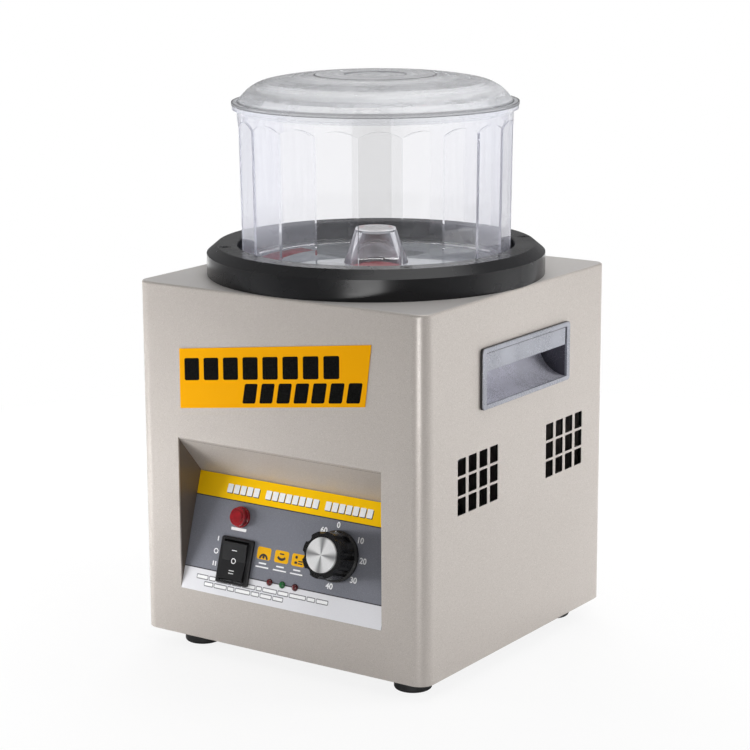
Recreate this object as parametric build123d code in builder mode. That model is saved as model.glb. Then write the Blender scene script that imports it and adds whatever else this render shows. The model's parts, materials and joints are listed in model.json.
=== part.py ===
from build123d import *
from math import atan2, cos, degrees, hypot, radians, sin, sqrt
import os

# Bench-top magnetic tumbler: a sheet-steel casing with a sunken sloping control panel, a clear
# faceted bowl with a domed lid in a black seat ring, and a motor that spins a disc of magnets
# under the bowl.
# Millimetres, +Z up, front of the machine towards -Y.
# Origin: on the table, under the middle of the machine's footprint.

# ---------------------------------------------------------------- driving dimensions

# Casing
casing_width = 230.0
casing_depth = 232.0
casing_height = 241.5
corner_radius = 10.0
top_edge_radius = 1.4
sheet = 1.5
flange_width = 14.0
base_thickness = 2.0
foot_height = 10.5
foot_radius = 12.5
foot_spots = [(x, y) for x in (-82, 91) for y in (-93, 86)]
base_screw_spots = [(x, y) for x in (-106, 106) for y in (-45, 45)] + [(0, -107), (0, 107)]

# Control recess: a V-shaped notch in the front, its lower wall carries the panel
recess_half_width = 82.0
recess_bottom = 43.0
recess_apex = 121.0
recess_top = 148.5
recess_depth = 24.0
recess_rim = 7.0
panel_thickness = 0.6

# Things on the panel, as (across, up the slope) from the middle of its lower edge
lamp_spot = (-41.6, 54.8)
switch_spot = (-40.3, 25.1)
timer_spot = (39.5, 41.5)
red_led_spots = [(-10.4, 16.0), (10.4, 16.0)]
green_led_spot = (0.0, 16.0)

# Front label: a slanting sticker, wider than tall
label_corner = (-78.9, 169.0)
label_width = 155.5
label_height = 40.6
label_tilt = 7.4
label_end_lean = 5.0
label_thickness = 0.4

# Vent slots in each side wall
vent_size = (9.9, 11.4)
vent_pitch = (13.1, 13.0)
vent_grid = (4, 3)
vent_level = 134.0
vent_centres = (-53.0, 58.5)

# Rear service panel
rear_opening = (190.0, 205.0)
rear_panel_size = (206.0, 221.0)
rear_panel_level = 132.5
rear_screw_grid = (198.0, 103.0)
inlet_spot = (-60.0, 52.0)
inlet_cutout = (27.6, 20.4)
inlet_ear_pitch = 40.0
fuse_spot = (-12.0, 52.0)
fuse_bush_radius = 6.4

# Recessed side handles
handle_middle = (5.0, 199.7)
handle_flange = (112.0, 40.4)
handle_window = (103.5, 34.3)
handle_plate_bottom = 204.5
handle_scoop_radius = handle_plate_bottom - handle_middle[1] + handle_window[1] / 2
handle_wall = 2.0
gasket_thickness = 1.6
handle_flange_thickness = 0.9

# Seat ring and the floor under the bowl
ring_radius = 114.7
ring_top_radius = 108.0
ring_wall_height = 14.4
ring_height = 20.0
well_radius = 94.0
floor_radius = 98.2
floor_thickness = 3.0
floor_label_radius = 83.0
floor_label_thickness = 0.3
top_hole_radius = 88.0
ring_screw_circle = 103.0

# Bowl and lid
bowl_height = 110.7
bowl_top_radius = 92.7
bowl_bottom_radius = 91.2
bowl_wall = 3.2
bowl_lip_radius = 96.0
bowl_lip_height = 2.8
bowl_facets = 20
facet_top_gap = 9.0
facet_arch_rise = 4.5
hub_height = 23.5
hub_top_radius = 13.5
hub_base_radius = 21.5
lid_rim_radius = 96.5
lid_rim_height = 1.8
lid_dome_radius = 92.4
lid_shoulder_radius = 28.5
lid_shoulder_lean = 29.9
lid_shoulder_turn = 48.3
lid_crown_radius = 167.0
lid_crown_turn = 11.1
lid_wall = 2.2
lid_flat_radius = 40.0
lid_flat_rise = 0.45
lid_dish_radius = 21.0
lid_dish_depth = 0.8
lid_plug_depth = 5.0
lid_plug_gap = 0.4

# Motor, hung from the top of the casing on four posts
motor_plate_half = 82.0
motor_plate_top = 215.0
motor_plate_thickness = 3.0
post_across_flats = 10.0
can_radius = 54.0
stator_radius = 50.0
stator_bore = 32.3
stator_slots = 12
core_bottom = 150.0
core_top = 190.0
can_bottom = 140.0
can_top = 200.0
bell_height = 12.0
bell_wall = 3.0
motor_bolt_circle = 61.0
motor_bolt_count = 4
shaft_radius = 6.0
running_gap = 0.05
bearing_radius = 16.0
bearing_width = 10.0
rotor_radius = 31.9
shaft_bottom = 109.0

# Magnet disc
disc_radius = 84.0
disc_bottom = 236.0
disc_thickness = 10.0
magnet_count = 6
magnet_radius = 12.5
magnet_circle = 62.0
magnet_height = 9.0
magnet_pocket_depth = 6.0

# Run capacitor, lying on the base plate
capacitor_radius = 17.5
capacitor_length = 72.0
capacitor_tab_pitch = 14.0
capacitor_x = -72.0
capacitor_y = -10.0
clamp_wall = 1.2
clamp_width = 14.0
clamp_foot_half = 27.0
clamp_screw_reach = 22.5

# Screws
screw_radius = 2.0
pan_head_radius = 3.8
pan_head_height = 2.2
pan_head_round = 1.2
countersunk_radius = 4.2
cross_length = 4.6
cross_width = 0.9
cross_depth = 1.1

# Push-on terminals, shared by the switch, timer, lamp, fuse, board and capacitor
tab_thickness = 0.8
tab_width = 6.3
small_tab_width = 4.8
lamp_tab_width = 2.8
tab_length = 8.0

# ---------------------------------------------------------------- derived places

casing_bottom = foot_height
casing_top = foot_height + casing_height
front = -casing_depth / 2
rear = casing_depth / 2
side = casing_width / 2
inner_width = casing_width - 2 * sheet
inner_depth = casing_depth - 2 * sheet
base_top = casing_bottom + base_thickness
top_plate_underside = casing_top - sheet

panel_length = hypot(recess_depth, recess_apex - recess_bottom)
panel_slope = atan2(recess_depth, recess_apex - recess_bottom)
panel_normal = (0, -cos(panel_slope), sin(panel_slope))
panel_plane = Plane(origin=(0, front, recess_bottom), x_dir=(1, 0, 0), z_dir=panel_normal)
panel_face = panel_thickness
panel_back = -sheet

ring_top = casing_top + ring_height
floor_top = casing_top + floor_thickness
bowl_bottom = floor_top + floor_label_thickness
bowl_top = bowl_bottom + bowl_height
ring_screw_spots = [
    (ring_screw_circle * cos(angle), ring_screw_circle * sin(angle))
    for angle in (radians(45 + 90 * i) for i in range(4))
]
clamp_screw_spots = [
    (capacitor_x + reach, capacitor_y + capacitor_length / 2)
    for reach in (-clamp_screw_reach, clamp_screw_reach)
]

pieces = {}


def underside(x, y, z):
    """A plane at a point, facing down."""
    return Plane(origin=(x, y, z), x_dir=(1, 0, 0), z_dir=(0, 0, -1))


def pan_head_screw(shank_length):
    """A screw with its head above the XY plane and its shank below."""
    with BuildPart() as screw:
        with BuildSketch():
            Circle(pan_head_radius)
        extrude(amount=pan_head_height)
        fillet(screw.edges().group_by(Axis.Z)[-1], pan_head_round)
        with BuildSketch(Plane.XY.offset(pan_head_height)):
            Rectangle(cross_length, cross_width)
            Rectangle(cross_width, cross_length)
        extrude(amount=-cross_depth, mode=Mode.SUBTRACT)
        with BuildSketch():
            Circle(screw_radius)
        extrude(amount=-shank_length)
    return screw.part


def countersunk_screw(shank_length):
    """A screw whose flat head is level with the XY plane, shank below."""
    head_depth = countersunk_radius - screw_radius
    with BuildPart() as screw:
        with BuildSketch():
            Circle(countersunk_radius)
        extrude(amount=-head_depth, taper=45)
        with BuildSketch(Plane.XY.offset(-head_depth)):
            Circle(screw_radius)
        extrude(amount=-shank_length)
        with BuildSketch():
            Rectangle(cross_length, cross_width)
            Rectangle(cross_width, cross_length)
        extrude(amount=-cross_depth, mode=Mode.SUBTRACT)
    return screw.part


def hex_nut(across_flats, height, bore_radius):
    """A hexagon nut standing on the XY plane."""
    with BuildPart() as nut:
        with BuildSketch():
            RegularPolygon(across_flats / 2, 6, major_radius=False)
            Circle(bore_radius, mode=Mode.SUBTRACT)
        extrude(amount=height)
    return nut.part


# ---------------------------------------------------------------- sheet metal

# The notch is a prism along X; the same prism is cut from the casing wall and from the pocket.
with BuildPart() as recess_notch:
    with BuildSketch(Plane.YZ):
        with BuildLine():
            Polyline(
                (front - 1, recess_bottom - (recess_apex - recess_bottom) / recess_depth),
                (front, recess_bottom),
                (front + recess_depth, recess_apex),
                (front, recess_top),
                (front - 1, recess_top + (recess_top - recess_apex) / recess_depth),
                close=True,
            )
        make_face()
    extrude(amount=recess_half_width, both=True)

with BuildPart() as housing_shell:
    with BuildSketch(Plane.XY.offset(casing_bottom)):
        RectangleRounded(casing_width, casing_depth, corner_radius)
    extrude(amount=casing_height)
    fillet(housing_shell.faces().sort_by(Axis.Z)[-1].edges(), top_edge_radius)
    # inside of the box, then the opening inside the bottom flange that the base plate closes
    with BuildSketch(Plane.XY.offset(base_top + sheet)):
        RectangleRounded(inner_width, inner_depth, corner_radius - sheet)
    extrude(amount=top_plate_underside - base_top - sheet, mode=Mode.SUBTRACT)
    with BuildSketch(Plane.XY.offset(casing_bottom)):
        RectangleRounded(inner_width, inner_depth, corner_radius - sheet)
    extrude(amount=base_thickness, mode=Mode.SUBTRACT)
    with BuildSketch(Plane.XY.offset(base_top)):
        Rectangle(inner_width - 2 * flange_width, inner_depth - 2 * flange_width)
    extrude(amount=sheet, mode=Mode.SUBTRACT)
    # top: hole over the magnets and four screw holes
    with BuildSketch(Plane.XY.offset(casing_top)):
        Circle(top_hole_radius)
        with Locations(*ring_screw_spots):
            Circle(screw_radius + 0.3)
    extrude(amount=-sheet, mode=Mode.SUBTRACT)
    add(recess_notch.part, mode=Mode.SUBTRACT)
    # side walls: handle cut-outs and vents
    with BuildSketch(Plane.YZ):
        with Locations(handle_middle):
            Rectangle(handle_window[0] + 2 * handle_wall, handle_window[1] + 2 * handle_wall)
        for vent_centre in vent_centres:
            with Locations((vent_centre, vent_level)):
                with GridLocations(*vent_pitch, *vent_grid):
                    RectangleRounded(*vent_size, 0.8)
    extrude(amount=side + 1, both=True, mode=Mode.SUBTRACT)
    # bottom flange screw holes
    with BuildSketch(Plane.XY.offset(base_top)):
        with Locations(*base_screw_spots):
            Circle(screw_radius + running_gap)
    extrude(amount=sheet, mode=Mode.SUBTRACT)
    # service opening in the rear wall with the rear panel's screw holes round it
    with BuildSketch(Plane.XZ.offset(-rear)):
        with Locations((0, rear_panel_level)):
            Rectangle(*rear_opening)
            with GridLocations(*rear_screw_grid, 2, 3):
                Circle(screw_radius + running_gap)
    extrude(amount=sheet, mode=Mode.SUBTRACT)
pieces["housing_shell"] = housing_shell

rear_panel_face = rear + sheet

with BuildPart() as rear_panel:
    with BuildSketch(Plane.XZ.offset(-rear)):
        with Locations((0, rear_panel_level)):
            RectangleRounded(*rear_panel_size, 5)
            with GridLocations(*rear_screw_grid, 2, 3):
                Circle(screw_radius + running_gap, mode=Mode.SUBTRACT)
        with Locations(inlet_spot):
            Rectangle(*inlet_cutout, mode=Mode.SUBTRACT)
            with GridLocations(inlet_ear_pitch, 0, 2, 1):
                Circle(screw_radius + running_gap, mode=Mode.SUBTRACT)
        with Locations(fuse_spot):
            Circle(fuse_bush_radius + 0.1, mode=Mode.SUBTRACT)
    extrude(amount=-sheet)
pieces["rear_panel"] = rear_panel

with BuildPart() as base_plate:
    with BuildSketch(Plane.XY.offset(casing_bottom)):
        RectangleRounded(inner_width - 0.6, inner_depth - 0.6, corner_radius - sheet)
        with Locations(*foot_spots, *base_screw_spots, *clamp_screw_spots):
            Circle(screw_radius + running_gap, mode=Mode.SUBTRACT)
    extrude(amount=base_thickness)
pieces["base_plate"] = base_plate

# The pocket behind the notch: the notch's walls one sheet thick, and a rim behind the front wall.
# Two studs on its back carry the lamp board.
led_board_spot = (0.0, 16.0)
led_board_size = (38.0, 14.0)
led_board_level = -9.0
led_stud_pitch = 33.0
led_stud_radius = 2.0
switch_cutout = (24.0, 28.6)
timer_bush_radius = 4.9
timer_bush_hole = 5.0
lamp_bush_radius = 4.9
led_radius = 2.4

with BuildSketch(panel_plane) as panel_openings:
    with Locations(lamp_spot):
        Circle(lamp_bush_radius + 0.1)
    with Locations(switch_spot):
        Rectangle(*switch_cutout)
    with Locations(timer_spot):
        Circle(timer_bush_hole)
    with Locations(*red_led_spots, green_led_spot):
        Circle(led_radius + 0.1)

with BuildPart() as control_recess:
    recess_height = recess_top - recess_bottom
    with BuildSketch(Plane.YZ):
        with BuildLine():
            Polyline(
                (front, recess_bottom),
                (front + recess_depth, recess_apex),
                (front, recess_top),
                close=True,
            )
        make_face()
        offset(amount=sheet, kind=Kind.INTERSECTION)
    extrude(amount=recess_half_width + sheet, both=True)
    with BuildSketch(Plane.XZ.offset(-front - sheet)):
        Rectangle(2 * casing_width, 4 * casing_height)
    extrude(amount=casing_depth, mode=Mode.SUBTRACT)
    with BuildSketch(Plane.XZ.offset(-front - sheet)):
        with Locations((0, recess_bottom + recess_height / 2)):
            Rectangle(2 * (recess_half_width + recess_rim), recess_height + 2 * recess_rim)
    extrude(amount=-sheet)
    add(recess_notch.part, mode=Mode.SUBTRACT)
    extrude(panel_openings.sketch, amount=2 * sheet, both=True, mode=Mode.SUBTRACT)
    with BuildSketch(panel_plane.offset(panel_back)):
        with Locations(led_board_spot):
            with GridLocations(led_stud_pitch, 0, 2, 1):
                Circle(led_stud_radius)
    extrude(amount=led_board_level - panel_back)
pieces["control_recess"] = control_recess

with BuildPart() as control_panel:
    with BuildSketch(panel_plane):
        with Locations((0, panel_length / 2)):
            Rectangle(2 * recess_half_width - 0.6, panel_length - 1.0)
    extrude(amount=panel_thickness)
    extrude(panel_openings.sketch, amount=panel_thickness, mode=Mode.SUBTRACT)
pieces["control_panel"] = control_panel

with BuildPart() as front_label:
    label_rise = label_width * sin(radians(label_tilt))
    label_run = label_width * cos(radians(label_tilt))
    with BuildSketch(Plane.XZ.offset(-front)):
        left, bottom = label_corner
        with BuildLine():
            Polyline(
                (left, bottom),
                (left + label_run - label_end_lean, bottom + label_rise),
                (left + label_run, bottom + label_rise + label_height),
                (left, bottom + label_height),
                close=True,
            )
        make_face()
    extrude(amount=label_thickness)
pieces["front_label"] = front_label

# ---------------------------------------------------------------- side handles

handle_y, handle_z = handle_middle
handle_face = gasket_thickness + handle_flange_thickness
handle_plane = Plane(origin=(side, handle_y, handle_z), x_dir=(0, 1, 0), z_dir=(1, 0, 0))
handle_corner = 2.5
plate_setback = 1.0
plate_thickness = 3.0
upper_round = 4.0
scoop_centre = (side + handle_face - 0.5, handle_plate_bottom)

# Finger space of the right-hand handle, a prism along Y: a quarter-round scoop below the plate,
# running on up behind it.
with BuildPart() as finger_space:
    scoop_x, scoop_z = scoop_centre
    deep_x = scoop_x - handle_scoop_radius
    ceiling = handle_z + handle_window[1] / 2 - handle_wall
    plate_back = side + handle_face - plate_setback - plate_thickness
    with BuildSketch(Plane.XZ.offset(-handle_y)):
        with BuildLine():
            CenterArc(scoop_centre, handle_scoop_radius, 180, 90)
            Polyline(
                (scoop_x, scoop_z - handle_scoop_radius),
                (side + handle_face + 1, scoop_z - handle_scoop_radius),
                (side + handle_face + 1, scoop_z),
                (plate_back, scoop_z),
                (plate_back, ceiling),
                (deep_x + upper_round, ceiling),
                (deep_x, ceiling - upper_round),
                (deep_x, scoop_z),
            )
        make_face()
    extrude(amount=handle_window[0] / 2, both=True)

with BuildPart() as handle_right:
    with BuildSketch(handle_plane.offset(gasket_thickness)):
        RectangleRounded(*handle_flange, handle_corner)
    extrude(amount=handle_flange_thickness)
    fillet(handle_right.faces().sort_by(Axis.X)[-1].edges(), 0.5)
    with BuildSketch(handle_plane.offset(gasket_thickness)):
        Rectangle(handle_window[0] + 2 * handle_wall - 0.4, handle_window[1] + 2 * handle_wall - 0.4)
    extrude(amount=-(side + gasket_thickness - deep_x + handle_wall))
    back_edges = handle_right.faces().sort_by(Axis.X)[0].edges().filter_by(Axis.Y)
    fillet(back_edges.sort_by(Axis.Z)[0], handle_scoop_radius - 3)
    fillet(back_edges.sort_by(Axis.Z)[-1], upper_round)
    with BuildSketch(handle_plane.offset(handle_face)):
        Rectangle(*handle_window)
    extrude(amount=-plate_setback, mode=Mode.SUBTRACT)
    add(finger_space.part, mode=Mode.SUBTRACT)
pieces["handle_right"] = handle_right

with BuildPart() as handle_left:
    mirror(handle_right.part, about=Plane.YZ)
pieces["handle_left"] = handle_left

with BuildPart() as handle_gaskets:
    with BuildSketch(handle_plane):
        RectangleRounded(*handle_flange, handle_corner)
        Rectangle(
            handle_window[0] + 2 * handle_wall,
            handle_window[1] + 2 * handle_wall,
            mode=Mode.SUBTRACT,
        )
    extrude(amount=gasket_thickness)
    mirror(about=Plane.YZ)
pieces["handle_gaskets"] = handle_gaskets

# ---------------------------------------------------------------- feet

foot_counterbore_radius = 5.0
foot_counterbore_depth = 5.0
foot_nut_height = 3.2

with BuildPart() as rubber_feet:
    with BuildSketch():
        with Locations(*foot_spots):
            Circle(foot_radius)
    extrude(amount=foot_height)
    fillet(rubber_feet.edges().group_by(Axis.Z)[0], 2.0)
    with Locations(*[underside(x, y, 0) for x, y in foot_spots]):
        CounterBoreHole(screw_radius + running_gap, foot_counterbore_radius, foot_counterbore_depth)
pieces["rubber_feet"] = rubber_feet

with BuildPart() as foot_screws:
    foot_screw = pan_head_screw(base_top + foot_nut_height + 1 - foot_counterbore_depth)
    foot_nut = hex_nut(7, foot_nut_height, screw_radius)
    with Locations(*[underside(x, y, foot_counterbore_depth) for x, y in foot_spots]):
        add(foot_screw)
    with Locations(*[(x, y, base_top) for x, y in foot_spots]):
        add(foot_nut)
pieces["foot_screws"] = foot_screws

# ---------------------------------------------------------------- seat ring and well floor

with BuildPart() as seat_ring:
    with BuildSketch(Plane.XZ):
        with BuildLine():
            Polyline(
                (floor_radius + 0.2, casing_top),
                (ring_radius, casing_top),
                (ring_radius, casing_top + ring_wall_height),
                (ring_top_radius, ring_top),
                (well_radius + 0.8, ring_top),
                (well_radius, ring_top - 0.8),
                (well_radius, floor_top),
                (floor_radius + 0.2, floor_top),
                close=True,
            )
        make_face()
    revolve(axis=Axis.Z)
    with Locations(*[(x, y, ring_top) for x, y in ring_screw_spots]):
        CounterSinkHole(screw_radius + 0.3, countersunk_radius + 0.1, ring_height)
pieces["seat_ring"] = seat_ring

with BuildPart() as seat_floor:
    with BuildSketch(Plane.XY.offset(casing_top)):
        Circle(floor_radius)
    extrude(amount=floor_thickness)
pieces["seat_floor"] = seat_floor

with BuildPart() as floor_label:
    with BuildSketch(Plane.XY.offset(floor_top)):
        Circle(floor_label_radius)
    extrude(amount=floor_label_thickness)
pieces["floor_label"] = floor_label

post_thread_depth = 9.0
with BuildPart() as ring_screws:
    ring_screw = countersunk_screw(ring_height + sheet + post_thread_depth - 1)
    with Locations(*[(x, y, ring_top - 0.1) for x, y in ring_screw_spots]):
        add(ring_screw)
pieces["ring_screws"] = ring_screws

# ---------------------------------------------------------------- bowl and lid

# Outside: a slightly tapered cylinder with a ring of flats, each ending in an arch under the lip.
# The flats lean with the wall, so they are the same depth all the way up.
facet_angle = 360 / bowl_facets
facet_distance = bowl_bottom_radius * cos(radians(facet_angle / 2)) - 0.1
facet_half_width = bowl_top_radius * sin(radians(facet_angle / 2))
facet_top = bowl_height - facet_top_gap
wall_lean = atan2(bowl_top_radius - bowl_bottom_radius, bowl_height - bowl_lip_height)
inner_top_radius = bowl_top_radius - bowl_wall
inner_bottom_radius = bowl_bottom_radius - bowl_wall
corner_round = 6.0

inner_floor = bowl_bottom + bowl_wall
hub_top = inner_floor + hub_height
inner_facet_distance = facet_distance - bowl_wall - 0.1


def facet_cutter(distance):
    """An arch-topped block just outside one flat, whose foot is `distance` from the axis."""
    facet_plane = Plane(
        origin=(distance, 0, bowl_bottom),
        x_dir=(0, 1, 0),
        z_dir=(cos(wall_lean), 0, -sin(wall_lean)),
    )
    arch_foot = facet_top - facet_arch_rise
    with BuildPart() as cutter:
        with BuildSketch(facet_plane):
            with BuildLine():
                Polyline(
                    (-facet_half_width, arch_foot),
                    (-facet_half_width, -2),
                    (facet_half_width, -2),
                    (facet_half_width, arch_foot),
                )
                ThreePointArc(
                    (facet_half_width, arch_foot), (0, facet_top), (-facet_half_width, arch_foot)
                )
            make_face()
        extrude(amount=5)
    return cutter.part


outer_facet = facet_cutter(facet_distance)
inner_facet = facet_cutter(inner_facet_distance)

# Inside of the bowl, flats parallel to the outer ones, down to the floor but round the hub
with BuildPart() as bowl_hollow:
    with BuildSketch(Plane.XZ):
        with BuildLine():
            inside = Polyline(
                (0, bowl_top),
                (inner_top_radius, bowl_top),
                (inner_bottom_radius, inner_floor + corner_round),
            )
            RadiusArc(
                inside @ 1,
                (inner_bottom_radius - corner_round, inner_floor),
                corner_round,
            )
            Polyline(
                (inner_bottom_radius - corner_round, inner_floor),
                (hub_base_radius, inner_floor),
                (hub_top_radius, hub_top),
                (0, hub_top),
                (0, bowl_top),
            )
        make_face()
    revolve(axis=Axis.Z)
    with PolarLocations(0, bowl_facets):
        add(inner_facet, mode=Mode.SUBTRACT)

with BuildPart() as bowl:
    with BuildSketch(Plane.XZ):
        with BuildLine():
            Polyline(
                (0, bowl_bottom),
                (bowl_bottom_radius, bowl_bottom),
                (bowl_top_radius, bowl_top - bowl_lip_height),
                (bowl_lip_radius, bowl_top - bowl_lip_height),
                (bowl_lip_radius, bowl_top),
                (0, bowl_top),
                close=True,
            )
        make_face()
    revolve(axis=Axis.Z)
    with PolarLocations(0, bowl_facets):
        add(outer_facet, mode=Mode.SUBTRACT)
    add(bowl_hollow.part, mode=Mode.SUBTRACT)
    # the hub is hollow underneath, so the wall stays even
    with BuildSketch(Plane.XZ):
        with BuildLine():
            Polyline(
                (0, bowl_bottom),
                (hub_base_radius - bowl_wall, bowl_bottom),
                (hub_top_radius - bowl_wall, hub_top - bowl_wall),
                (0, hub_top - bowl_wall),
                close=True,
            )
        make_face()
    revolve(axis=Axis.Z, mode=Mode.SUBTRACT)
pieces["bowl"] = bowl

# Lid: a rim that rests on the bowl's lip, a plug ring inside it and a low dome, which is a round
# shoulder arc running into a wide crown arc, with a raised flat top dished in the middle
dome_base = bowl_top + lid_rim_height
plug_radius = inner_top_radius - lid_plug_gap
plug_inside = plug_radius - lid_wall

with BuildPart() as lid:
    with BuildSketch(Plane.XZ):
        with BuildLine():
            shoulder = JernArc(
                (lid_dome_radius, dome_base),
                (-sin(radians(lid_shoulder_lean)), cos(radians(lid_shoulder_lean))),
                lid_shoulder_radius,
                lid_shoulder_turn,
            )
            crown = JernArc(shoulder @ 1, shoulder % 1, lid_crown_radius, lid_crown_turn)
            crown_end = crown @ 1
            flat_level = crown_end.Y + lid_flat_rise
            ceiling_level = flat_level - lid_dish_depth - lid_wall
            top = Polyline(
                crown_end,
                (lid_flat_radius, flat_level),
                (lid_dish_radius, flat_level),
                (lid_dish_radius - lid_dish_depth, flat_level - lid_dish_depth),
                (0, flat_level - lid_dish_depth),
                (0, ceiling_level),
                (crown_end.X, ceiling_level),
            )
            # the ceiling follows the crown and the shoulder one wall lower, down to the plug ring
            centre = shoulder.arc_center
            inner_radius = lid_shoulder_radius - lid_wall
            inner_shoulder = centre + (shoulder @ 1 - centre) * (inner_radius / lid_shoulder_radius)
            inner_level = centre.Y + sqrt(inner_radius**2 - (plug_inside - centre.X) ** 2)
            ceiling = RadiusArc(top @ 1, inner_shoulder, -lid_crown_radius)
            inner_bend = RadiusArc(ceiling @ 1, (plug_inside, inner_level), -inner_radius)
            Polyline(
                inner_bend @ 1,
                (plug_inside, bowl_top - lid_plug_depth),
                (plug_radius, bowl_top - lid_plug_depth),
                (plug_radius, bowl_top),
                (lid_rim_radius, bowl_top),
                (lid_rim_radius, dome_base),
                (lid_dome_radius, dome_base),
            )
        make_face()
    revolve(axis=Axis.Z)
pieces["lid"] = lid

# ---------------------------------------------------------------- pilot lamp

panel_axis = Axis((0, front, recess_bottom), panel_normal)
panel_up = (0, sin(panel_slope), cos(panel_slope))

with BuildPart() as lamp_lens:
    lens_steps = ((7.2, 1.8), (6.3, 3.2), (4.4, 0.8))
    lens_level = panel_face
    for step_radius, step_height in lens_steps:
        with BuildSketch(panel_plane.offset(lens_level)):
            with Locations(lamp_spot):
                Circle(step_radius)
        extrude(amount=step_height)
        fillet(lamp_lens.edges().group_by(panel_axis)[-1], 0.5)
        lens_level += step_height
pieces["lamp_lens"] = lamp_lens

lamp_nut_height = 3.0
lamp_barrel_radius = 6.2
lamp_barrel_length = 18.0
lamp_barrel_back = panel_back - lamp_nut_height - lamp_barrel_length
lamp_tab_pitch = 6.0
lamp_tab_length = 6.0

with BuildPart() as lamp_housing:
    with BuildSketch(panel_plane.offset(panel_face)):
        with Locations(lamp_spot):
            Circle(lamp_bush_radius)
    extrude(amount=panel_back - panel_face)
    with BuildSketch(panel_plane.offset(panel_back)):
        with Locations(lamp_spot):
            RegularPolygon(lamp_barrel_radius + 0.8, 6, major_radius=False)
    extrude(amount=-lamp_nut_height)
    with BuildSketch(panel_plane.offset(panel_back - lamp_nut_height)):
        with Locations(lamp_spot):
            Circle(lamp_barrel_radius)
    extrude(amount=-lamp_barrel_length)
    with BuildSketch(panel_plane.offset(lamp_barrel_back)):
        with Locations(lamp_spot):
            with GridLocations(lamp_tab_pitch, 0, 2, 1):
                Rectangle(tab_thickness, lamp_tab_width)
    extrude(amount=-lamp_tab_length)
pieces["lamp_housing"] = lamp_housing

# ---------------------------------------------------------------- rocker switch

bezel_size = (26.6, 31.2)
bezel_height = 2.2
switch_body_size = (23.6, 28.2)
switch_body_depth = 20.0
switch_tab_pitch = (12.0, 9.0)
rocker_well = (20.2, 27.6)
rocker_well_depth = 12.0
rocker_width = 19.6
rocker_end_radius = 13.4
rocker_corner_height = 5.6
rocker_dip_height = 4.2
rocker_base_height = -6.0
rocker_pivot_level = -1.0
pivot_pin_radius = 1.5
pivot_pin_reach = 1.0
pivot_centre = panel_plane.from_local_coords((*switch_spot, rocker_pivot_level))
rocker_plane = Plane(origin=pivot_centre, x_dir=panel_up, z_dir=(1, 0, 0))

with BuildPart() as switch_housing:
    with BuildSketch(panel_plane.offset(panel_face)):
        with Locations(switch_spot):
            RectangleRounded(*bezel_size, 1.5)
    extrude(amount=bezel_height)
    chamfer(switch_housing.edges().group_by(panel_axis)[-1], 0.6)
    with BuildSketch(panel_plane.offset(panel_face)):
        with Locations(switch_spot):
            Rectangle(*switch_body_size)
    extrude(amount=-switch_body_depth - panel_face)
    with BuildSketch(panel_plane.offset(-rocker_well_depth)):
        with Locations(switch_spot):
            Rectangle(*rocker_well)
    extrude(amount=rocker_well_depth + panel_face + bezel_height, mode=Mode.SUBTRACT)
    with BuildSketch(rocker_plane):
        Circle(pivot_pin_radius + running_gap)
    extrude(amount=rocker_well[0] / 2 + pivot_pin_reach + 0.2, both=True, mode=Mode.SUBTRACT)
    with BuildSketch(panel_plane.offset(-switch_body_depth)):
        with Locations(switch_spot):
            with GridLocations(*switch_tab_pitch, 2, 3):
                Rectangle(tab_thickness, small_tab_width)
    extrude(amount=-tab_length)
pieces["switch_housing"] = switch_housing


def along_end_arc(height):
    """Half the length of the rocker at a height above its pivot."""
    return (rocker_end_radius**2 - height**2) ** 0.5


with BuildPart() as rocker_paddle:
    corner_x = along_end_arc(rocker_corner_height)
    base_x = along_end_arc(rocker_base_height)
    with BuildSketch(rocker_plane):
        with BuildLine():
            Polyline(
                (-corner_x, rocker_corner_height),
                (0, rocker_dip_height),
                (corner_x, rocker_corner_height),
            )
            ThreePointArc(
                (corner_x, rocker_corner_height), (rocker_end_radius, 0), (base_x, rocker_base_height)
            )
            Line((base_x, rocker_base_height), (-base_x, rocker_base_height))
            ThreePointArc(
                (-base_x, rocker_base_height),
                (-rocker_end_radius, 0),
                (-corner_x, rocker_corner_height),
            )
        make_face()
    extrude(amount=rocker_width / 2, both=True)
    with BuildSketch(rocker_plane):
        Circle(pivot_pin_radius)
    extrude(amount=rocker_well[0] / 2 + pivot_pin_reach, both=True)
pieces["rocker_paddle"] = rocker_paddle

# ---------------------------------------------------------------- timer and its knob

timer_body_size = (40.0, 40.0)
timer_body_depth = 32.0
timer_end_wall = 3.0
timer_tab_pitch = 20.0
timer_tab_length = 7.0
timer_bush_top = 5.6
timer_nut_height = 2.6
timer_nut_flats = 13.0
timer_shaft_radius = 3.0
timer_shaft_top = 15.5
timer_shaft_bottom = timer_end_wall + 1 - timer_body_depth
timer_flat_start = 7.0
timer_flat_depth = 0.8
knob_clearance = 0.6
knob_skirt_radius = 17.0
knob_skirt_height = 3.0
knob_body_radius = 15.9
knob_body_top = 18.4
knob_hollow_radius = 8.4
knob_hollow_top = 6.6
knob_flutes = 8
flute_radius = 2.9
flute_reach = 1.0
pointer_length = 4.8
pointer_width = 1.1
pointer_depth = 0.5
cap_radius = 11.6
cap_top = 19.8
cap_inset = 0.8
cap_round = 0.5
off_position = 98.0

timer_plane = Plane(
    origin=panel_plane.from_local_coords((*timer_spot, 0)), x_dir=(1, 0, 0), z_dir=panel_normal
)
knob_bottom = panel_face + knob_clearance
skirt_top = knob_bottom + knob_skirt_height

with BuildSketch(timer_plane.offset(timer_flat_start)) as shaft_flat:
    with Locations((0, timer_shaft_radius)):
        Rectangle(2 * timer_shaft_radius, 2 * timer_flat_depth)

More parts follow.
